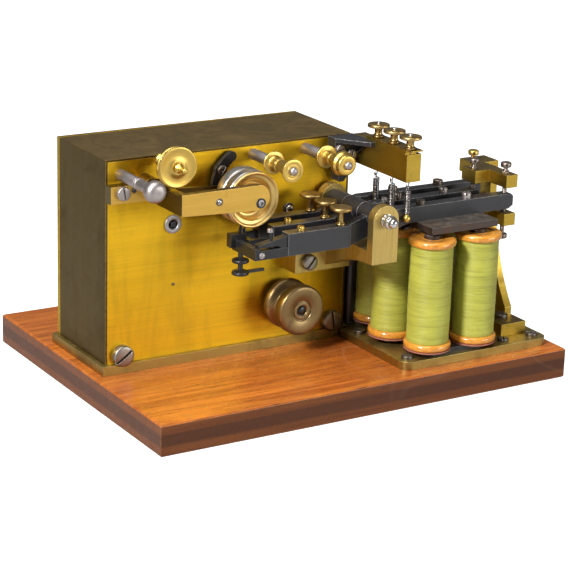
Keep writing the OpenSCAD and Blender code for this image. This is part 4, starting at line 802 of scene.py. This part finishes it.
# Screws on the plate: replaced node, place, radius, height, turn of the slot, finish
plateFace = -26
plateScrews = {
    "footScrewLeft": ("front_plate_screws", (-147.1, plateFace, 36), 7.75, 5.2, 35, "screwSteel"),
    "footScrewRight": ("front_plate_screws", (26.5, plateFace, 36), 7.75, 5.2, 100, "screwSteel"),
    "blockScrew": ("mounting_screws", (-151.2, -34, 156), 5, 3.6, 100, "postSteel"),
    "bracketScrew": ("mounting_screws", (-5.2, -43, 90.2), 5.75, 4.6, 50, "screwSteel"),
    "castingScrewLeft": ("mounting_screws", (22.6, -36, 169.4), 3.75, 3, 15, "postSteel"),
    "castingScrewRight": ("mounting_screws", (32.2, -36, 164.8), 3.75, 3, 75, "postSteel"),
    "crescentScrew": ("mounting_screws", (-72.37, -31.3, 163.12), 3.5, 2.5, 60, "darkScrews"),
    "studScrew": ("mounting_screws", (-130, -43.3, 158.5), 4.5, 3, 20, "screwSteel"),
}


def buildPlateScrews():
    for name, (node, place, radius, height, turn, finish) in plateScrews.items():
        addScrew(name, facing(*place), radius, height, turn, finish, "frame", node)
    shank = [(0, 0), (2, 0), (2, 5.4), (0, 5.4)]
    turnPiece("crescentShank", shank, 32, "darkScrews", "frame", facing(-72.37, plateFace, 163.12))
    bush = bored(3.24, -4, 0.4, [(5.1, -4), (5.1, 0), (6.3, 0), (6.65, 0.25), (6.7, 0.9), (6.5, 1.5),
        (6, 1.8), (4.2, 1.8), (3.7, 1.55), (3.4, 1)])
    atArbor = onAxis("winding_arbor", plateFace)
    turnPiece("windingBush", bush, 96, "bushSteel", "frame", atArbor, "plate_bushes")
    ring = bored(2.54, -4, 0.2, [(3.2, -4), (3.2, 0), (4, 0), (4.3, 0.3), (4.3, 1.1), (4, 1.5), (3.5, 1.5),
        (3.2, 1.1), (2.9, 0.4)])
    atFly = facing(-13.09, plateFace, 126.91)
    turnPiece("flyRing", ring, 72, "blackenedSteel", "frame", atFly, "plate_bushes")
    peg = [(0, 0), (1.1, 0), (1.1, 0.6), (0.8, 1.1), (0, 1.2)]
    turnPiece("platePeg", peg, 32, "darkScrews", "frame", facing(-106.7, plateFace, 82.6))
    onBlock = facing(-142.6, -34, 156.9) @ Matrix.Scale(1.5, 4)
    turnPiece("blockPeg", peg, 32, "blackenedSteel", "frame", onBlock)


buildPlateScrews()

# Lever axle with its collar, lock nut and rounded end
leverAxle = dict(radius=3, start=-29.5, rod=73.5)


def buildLeverAxle():
    r, start, rod = leverAxle.values()
    end = [(4.8, 0), (5.15, 0.3), (5.2, 1.9), (4.9, 2.25), (4.1, 2.4), (4.1, 3.1), (4.7, 3.4), (5, 3.9),
        (5, 6.1), (4.7, 6.7), (3.9, 7.1), (3.6, 7.6), (3.6, 9.2), (3.4, 10.1), (2.9, 10.9), (2.1, 11.5),
        (1.3, 11.8), (1.05, 11.9), (0.95, 11.3), (0, 11.1)]
    profile = [(0, 0), (r, 0), (r, rod)] + [(radius, rod + height) for radius, height in end]
    turnPiece("leverAxle", profile, 96, "brightSteel", "frame", onAxis("pivot_axle", start), "pivot_axle")


buildLeverAxle()
print("screws and bushes set")

# Electromagnets: six bobbins with rounded rims under a single layer of green silk
coils = dict(pairs=((61, -102.7), (54.4, -66), (64, -31)), pitch=40.5, rim=17.2, flange=5.2, winding=15.3,
    core=8.2, bore=6.35, layers=96)


def windingOutline(length):
    # Slightly uneven along its length, and lower at both ends
    outline = []
    for step in range(coils["layers"] + 1):
        along = step / coils["layers"]
        swell = 0.22 * math.sin(math.pi * along)
        swell += 0.05 * math.sin(along * 61) + 0.035 * math.sin(along * 143 + 1)
        drop = 0.35 * max(0, 1 - min(along, 1 - along) * 60)
        outline.append((coils["winding"] + swell - drop, length * along))
    return outline


def buildCoils():
    low, high = limits("coil_bobbins")
    tall = high.z - low.z
    rim, flangeTall, core = coils["rim"], coils["flange"], coils["core"]
    edge = inset(rim, [(2.4, 0), (1.2, 0.18), (0.4, 0.75), (0.05, 1.6), (0, 2.6), (0.05, 3.6), (0.4, 4.45),
        (1.2, 5.02), (2.4, flangeTall)])
    outline = edge + [(core, flangeTall), (core, tall - flangeTall)]
    outline += [(radius, tall - flangeTall + height) for radius, height in edge]
    outline += [(9.2, tall), (8.6, tall - 0.35), (7.4, tall - 0.35)]
    bobbin = turnedMesh("coilBobbin", bored(coils["bore"], 0, tall - 0.2, outline), 128)
    length = tall - 2 * flangeTall - 0.1
    winding = turnedMesh("coilWinding", bored(core + 0.1, 0, length, windingOutline(length)), 96)
    for pair, (x, y) in enumerate(coils["pairs"]):
        for side in (0, 1):
            title = ("Front", "Mid", "Rear")[pair] + ("left", "right")[side]
            place = standing(x + side * coils["pitch"], y, low.z)
            place = place @ Matrix.Rotation(0.9 * pair + 1.7 * side, 4, "Z")
            makePiece("bobbin" + title, bobbin.copy(), "orangeFlange", "frame", place, "coil_bobbins")
            inside = standing(0, 0, flangeTall + 0.05) @ place
            makePiece("winding" + title, winding.copy(), "greenSilk", "frame", inside, "coil_windings")


buildCoils()
print("coils wound")

# Lever springs: close coils with a loop above, held by a thin hook, on a brass ball below
leverSprings = dict(wire=0.42, coilRadius=2.05, turns=15, bottom=133.6, top=150, perTurn=20)
springLoop = dict(x=-0.6, z=152.05, wide=1.2, tall=1.25, steps=22)
springHook = dict(x=-0.7, z=153.6, radius=1.1, sweep=-250, steps=15)
springRod = dict(foot=156, core=1.3, thread=1.46, pitch=0.87, turns=40)
springBall = dict(height=129.5, still=149.5, moving=132.2)


def springPath():
    look, loop = leverSprings, springLoop
    path = [(0, 0, 131.8), (0, 0, 132.4), (0.4, 0.1, 132.9), (1.2, 0.2, 133.3)]
    steps = look["turns"] * look["perTurn"]
    for step in range(steps + 1):
        angle = 2 * math.pi * step / look["perTurn"]
        height = look["bottom"] + (look["top"] - look["bottom"]) * step / steps
        path.append((look["coilRadius"] * math.cos(angle), look["coilRadius"] * math.sin(angle), height))
    path += [(1.3, 0.5, 150.3), (0.4, 0.3, 150.5), (-0.4, 0.1, 150.7)]
    for step in range(1, loop["steps"]):
        angle = -math.pi / 2 + 2 * math.pi * step / loop["steps"]
        path.append((loop["x"], loop["wide"] * math.cos(angle), loop["z"] + loop["tall"] * math.sin(angle)))
    return path


def hookPath():
    hook = springHook
    path = [(0.4, 0, 157.5), (0.4, 0, 156), (0.4, 0, 154.6)]
    for step in range(1, hook["steps"] + 1):
        angle = math.radians(hook["sweep"] * step / hook["steps"])
        reach, rise = hook["radius"] * math.cos(angle), hook["radius"] * math.sin(angle)
        path.append((hook["x"] + reach, 0, hook["z"] + rise))
    return path


def rodProfile():
    foot, core = springRod["foot"], springRod["core"]
    rod = [(0, foot), (core, foot)]
    for turn in range(springRod["turns"]):
        rise = foot + turn * springRod["pitch"]
        rod += [(springRod["thread"], rise + 0.6), (core, rise + 1.03)]
    return rod + [(1.2, 191.2), (0.8, 191.45), (0, 191.5)]


def buildSprings():
    ball = [(0, -2.95), (1.15, -2.72), (2.1, -2.07), (2.72, -1.14), (2.95, 0), (2.72, 1.14), (2.1, 2.07),
        (1.3, 2.65), (1.25, 3), (0.9, 3.3), (0, 3.35)]
    for title in trio:
        node, body, big = "spring_" + title, "lever_" + title, title.capitalize()
        centre = middle(node)
        place = standing(centre.x, centre.y, 0)
        mesh = tubeMesh(node + "Wire", springPath(), leverSprings["wire"], 8)
        mesh.shade_smooth()
        mesh.materials.append(paint["springSteel"])
        wire = bpy.data.objects.new("leverSpring" + big, mesh)
        scene.collection.objects.link(wire)
        wire.matrix_world = place
        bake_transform(wire)
        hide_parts(node)
        hook = tubeMesh("springHook" + big, hookPath(), leverSprings["wire"], 10)
        makePiece("springHook" + big, hook, "darkScrews", "frame", place, "spring_hooks", slot="steel")
        turnPiece("springRod" + big, rodProfile(), 24, "steel", "frame", place, "spring_hooks")
        turnPiece("springBall" + big, ball, 48, "turnedBrass", body,
            standing(centre.x, centre.y, springBall["height"]), slot="knob_brass")


buildSprings()

# Knurled heads: spring knobs above the beam and thumb screws on the levers
knurledHeads = dict(radius=8, teeth=144, tooth=0.22)


def buildKnobs():
    r = knurledHeads["radius"]
    knob = [(4, 0), (4.3, 0.3), (4.3, 1.4), (3.6, 1.9), (3, 2.4), (2.8, 3.2), (2.8, 6.2), (3.4, 6.8),
        (4.6, 7.1)]
    knob += inset(r, [(1.6, 7.2), (0.5, 7.5), (0, 7.8), (0, 9.4), (0.4, 9.8), (1.1, 10), (1.7, 9.9),
        (2.1, 9.6), (3.4, 9.5), (3.9, 9.75), (4.6, 9.85), (5.2, 9.6)]) + [(2.4, 9.6), (2.1, 10)]
    thumb = [(0, 0), (2.4, 0), (2.75, 0.4), (2.75, 12.2), (3.5, 12.3), (3.6, 12.8), (3.2, 13.4), (2.3, 13.9),
        (2.2, 14.6), (2.2, 20.6), (2.7, 21.4), (4.2, 22)]
    thumb += inset(r, [(1.2, 22.3), (0.3, 22.7), (0, 23.1), (0, 24.3), (0.4, 24.8), (1.2, 25.15), (1.8, 25.1),
        (2.3, 24.85), (4, 24.8), (4.5, 25.05)]) + [(2.4, 25.1), (1.8, 24.9), (0, 24.95)]
    # Each kind: name, node, profile, and the two rings that carry the knurl
    kinds = (("springKnob", "spring_knob_", bored(1.54, 0, 10, knob), (12, 13)),
        ("thumbScrew", "thumb_screw_", thumb, (14, 15)))
    for title in trio:
        for name, nodeStart, profile, rings in kinds:
            node = nodeStart + title
            spot = middle(node)
            turnPiece(name + title.capitalize(), profile, knurledHeads["teeth"], "knobBrass", node,
                standing(spot.x, spot.y, limits(node)[0].z), node, (*rings, knurledHeads["tooth"]), sharp=50)


buildKnobs()
print("springs and knobs made")

# Stop screws: six round heads with a cross hole, each hole a black disc of painted shade, on threaded stems
# through the bars
stopScrews = dict(stem=1.8, pitch=0.8, headTall=4, leverTop=136.35, leverUnder=123.34, nutUpper=151.6,
    nutLower=112.3, places=(("Front", 136, -86), ("Mid", 122, -66), ("Rear", 136, -46)))


def stopProfile(upper, span):
    stem, pitch, tall = stopScrews["stem"], stopScrews["pitch"], stopScrews["headTall"]
    lift = 0 if upper else tall - 0.05
    thread = []
    for turn in range(int(span / pitch)):
        thread += [(stem, lift + turn * pitch + 0.2), (stem - 0.22, lift + turn * pitch + 0.6)]
    thread.append((stem - 0.3, lift + span))
    if upper:
        head = [(3.4, 0.1), (3.9, 0.5), (4, 1.1), (4, 2.9), (3.8, 3.4), (3.2, 3.8), (2.2, 3.95), (0, tall)]
        return [(0, 0)] + thread + [(radius, span + height) for radius, height in head]
    head = [(0, 0), (2.2, 0.05), (3.2, 0.2), (3.8, 0.6), (4, 1.1), (4, 2.9), (3.9, 3.5), (3.4, 3.9)]
    return head + thread + [(0, lift + span)]


def buildStopScrews():
    low, high = limits("stop_screws")
    tall = stopScrews["headTall"]
    nut = bored(1.8, 0, 1.2, [(2.9, 0), (3.1, 0.2), (3.1, 1), (2.9, 1.2)])
    # Painted shade: a thin black disc on the side of each head stands in for the dark inside of the cross
    # hole
    hole = [(0, 0), (0.95, 0), (0.95, 0.2), (0, 0.25)]
    above, under = stopScrews["leverTop"], stopScrews["leverUnder"]
    # Each end: name, height of the screw's foot, length of the stem, nut, cross hole
    ends = [("Upper", above, high.z - tall - above, stopScrews["nutUpper"], high.z - tall / 2)]
    ends += [("Lower", low.z, under - (low.z + tall), stopScrews["nutLower"], low.z + tall / 2)]
    sideways = Matrix.Rotation(math.radians(-30), 4, "Z") @ facing(0, -3.8, 0)
    for title, x, y in stopScrews["places"]:
        finish = "turnedBrass" if title == "Rear" else "wornSteel"
        for end, base, span, nutAt, holeAt in ends:
            name = "stopScrew" + title + end
            turnPiece(name, stopProfile(end == "Upper", span), 64, finish, "frame", standing(x, y, base),
                "stop_screws", slot="knob_brass")
            turnPiece(name + "Nut", nut, 48 if title == "Mid" else 6, finish, "frame", standing(x, y, nutAt),
                slot="knob_brass")
            turnPiece(name + "HoleShade", hole, 24, "blackenedSteel", "frame", standing(x, y, holeAt) @ sideways)


buildStopScrews()

# Slotted screws on the plate under the magnets and on the foot of the stop post
magnetScrews = dict(head=4.25, foot=5, footAt=((142, -84), (142, -21)), footTop=38.5, rearRow=-15.8)


def buildMagnetScrews():
    low, high = limits("magnet_plate")
    frontRow, rearRow = low.y + 9.5, magnetScrews["rearRow"]
    places = [(low.x + 8.3, frontRow), (high.x - 35.6, frontRow), (high.x - 9, frontRow), (low.x + 9, -44),
        (high.x - 40, rearRow), (50.5, rearRow)]
    for index, (x, y) in enumerate(places, 1):
        addScrew("magnetScrew%d" % index, standing(x, y, high.z), magnetScrews["head"], 2.3, x * 3 + 40,
            "darkScrews", "frame")
    for index, (x, y) in enumerate(magnetScrews["footAt"], 1):
        addScrew("postScrew%d" % index, standing(x, y, magnetScrews["footTop"]), magnetScrews["foot"], 3, 120,
            "darkScrews", "frame", "magnet_plate_screws")


buildMagnetScrews()

# Small screws on the levers: two over each armature, two brass ones on the arms, one on the slope
leverTop, armTop = 136.3, 129.4
leverScrews = {
    "armatureFrontLeft": ((61, -86, leverTop), 3.5, 3.4, 20, "darkScrews", "lever_front"),
    "armatureFrontRight": ((101.5, -86, leverTop), 3.3, 4.2, 55, "postSteel", "lever_front"),
    "armatureMidLeft": ((54.4, -66, leverTop), 3.3, 4.6, 80, "wornSteel", "lever_mid"),
    "armatureMidRight": ((94.9, -66, leverTop), 3.3, 3.6, 60, "postSteel", "lever_mid"),
    "armatureRearLeft": ((64, -46, leverTop), 3.5, 3.4, 10, "wornSteel", "lever_rear"),
    "armatureRearRight": ((104.5, -46, leverTop), 3.8, 4, 30, "wornSteel", "lever_rear"),
    "leverPin": ((43, -66, leverTop), 2.3, 2.4, 45, "postSteel", "lever_mid"),
    "armScrewFront": ((-39.7, -86, armTop), 2.6, 3.4, 35, "turnedBrass", "lever_front"),
    "armScrewMid": ((-38.1, -66, armTop), 2.6, 3.4, 60, "turnedBrass", "lever_mid"),
    "inclineScrew": ((-64.5, -86, 131.3), 2.1, 2.5, 70, "postSteel", "lever_front"),
}
styleDiscs = dict(at=(-73.3, -62), upper=104, lower=95.1, tooth=0.25)


def buildLeverScrews():
    for name, (place, radius, height, turn, finish, body) in leverScrews.items():
        slot = "knob_brass" if finish == "turnedBrass" else "steel"
        addScrew(name, standing(*place), radius, height, turn, finish, body, slot=slot)
    addScrew("jawScrew", facing(-73.4, -90.5, 116.8), 2.1, 1, 55, "postSteel", "lever_front")
    disc = [(0, 0), (4.6, 0), (5.7, 0.4), (6.1, 1), (6.1, 2), (5.7, 2.5), (4.4, 2.9), (2.2, 3), (0, 3)]
    for end in ("upper", "lower"):
        turnPiece("styleDisc" + end.capitalize(), disc, 96, "blackenedSteel", "lever_front",
            standing(*styleDiscs["at"], styleDiscs[end]), knurl=(3, 4, styleDiscs["tooth"]), sharp=50)


buildLeverScrews()
print("small screws set")

# Dark capped upright between the case and the rear coil, made wider than the real upright so that its dark
# body also stands in for the shade beside it (painted shade)
rearPost = dict(at=(46.5, -21), radius=4.7, foot=29.2, top=79, cap=3.4)


def buildRearPost():
    r, cap, neck = rearPost["radius"], rearPost["cap"], rearPost["top"] - rearPost["cap"]
    tall = rearPost["top"] - rearPost["foot"] - cap
    stem = [(0, 0), (r + 0.9, 0), (r + 0.9, 1.2), (r, 1.8), (r, tall), (r - 0.3, tall + 0.2), (0, tall + 0.2)]
    turnPiece("rearPost", stem, 64, "blackenedSteel", "frame", standing(*rearPost["at"], rearPost["foot"]))
    top = [(0, 0), (r + 0.2, 0), (r + 0.4, 0.3), (r + 0.4, cap - 0.8), (r - 0.2, cap - 0.2), (0, cap)]
    turnPiece("rearPostCap", top, 64, "softIron", "frame", standing(*rearPost["at"], neck + 0.2))


buildRearPost()

# Camera, pale paper floor and three soft boxes: place, size, power
studio = dict(cameraAt=(-0.755, -1.2144, 0.5179), yaw=31.955, pitch=17.78, roll=1.81, lens=127.08, sky=0.13,
    floorTone=0.4, floorGlow=1, floorReach=9, aim=(0, 0, 0.08))
softBoxes = {
    "keyBox": ((-2.25, -0.95, 1.75), (0.45, 0.45), 122),
    "fillBox": ((1.25, -1.85, 0.55), (1.2, 0.8), 20),
    "topBox": ((-0.35, -0.2, 1.9), (1.3, 1.1), 28),
}


def placeCamera():
    yaw, pitch, roll = (math.radians(studio[key]) for key in ("yaw", "pitch", "roll"))
    right = Vector((math.cos(yaw), -math.sin(yaw), 0))
    ahead = Vector((math.sin(yaw) * math.cos(pitch), math.cos(yaw) * math.cos(pitch), -math.sin(pitch)))
    up = right.cross(ahead)
    across = right * math.cos(roll) + up * math.sin(roll)
    above = up * math.cos(roll) - right * math.sin(roll)
    lens = bpy.data.cameras.new("photoCamera")
    lens.lens = studio["lens"]
    lens.sensor_width = 36
    lens.clip_end = 50
    camera = bpy.data.objects.new("photoCamera", lens)
    turn = Matrix((across, above, -ahead)).transposed().to_4x4()
    camera.matrix_world = Matrix.Translation(studio["cameraAt"]) @ turn
    scene.collection.objects.link(camera)
    scene.camera = camera


def layFloor():
    reach = studio["floorReach"]
    floorMesh = bpy.data.meshes.new("studioFloor")
    corners = [(-reach, -reach, 0), (reach, -reach, 0), (reach, reach, 0), (-reach, reach, 0)]
    floorMesh.from_pydata(corners, [], [(0, 1, 2, 3)])
    floor = bpy.data.objects.new("studioFloor", floorMesh)
    scene.collection.objects.link(floor)
    material, n, shader = newMaterial("palePaper")
    # The paper is pure white to the camera, and lights the instrument no more than real paper does
    seen = n.put("ShaderNodeLightPath").outputs["Is Camera Ray"]
    n.feed(shader, {"Base Color": (studio["floorTone"],) * 3, "Roughness": 0.75, "Emission Color": (1, 1, 1),
                    "Emission Strength": n.times(seen, studio["floorGlow"])})
    floorMesh.materials.append(material)


def lightStudio():
    world = bpy.data.worlds.new("softStudio")
    world.use_nodes = True
    sky = world.node_tree.nodes["Background"]
    sky.inputs[0].default_value = (1, 1, 1, 1)
    sky.inputs[1].default_value = studio["sky"]
    scene.world = world
    for name, (at, size, power) in softBoxes.items():
        light = bpy.data.lights.new(name, "AREA")
        light.shape = "RECTANGLE"
        light.size, light.size_y = size
        light.energy = power
        lamp = bpy.data.objects.new(name, light)
        lamp.location = at
        lamp.rotation_euler = (Vector(studio["aim"]) - Vector(at)).to_track_quat("-Z", "Y").to_euler()
        scene.collection.objects.link(lamp)
    scene.view_settings.view_transform = "Standard"
    scene.view_settings.look = "None"


placeCamera()
layFloor()
lightStudio()
print("studio ready")
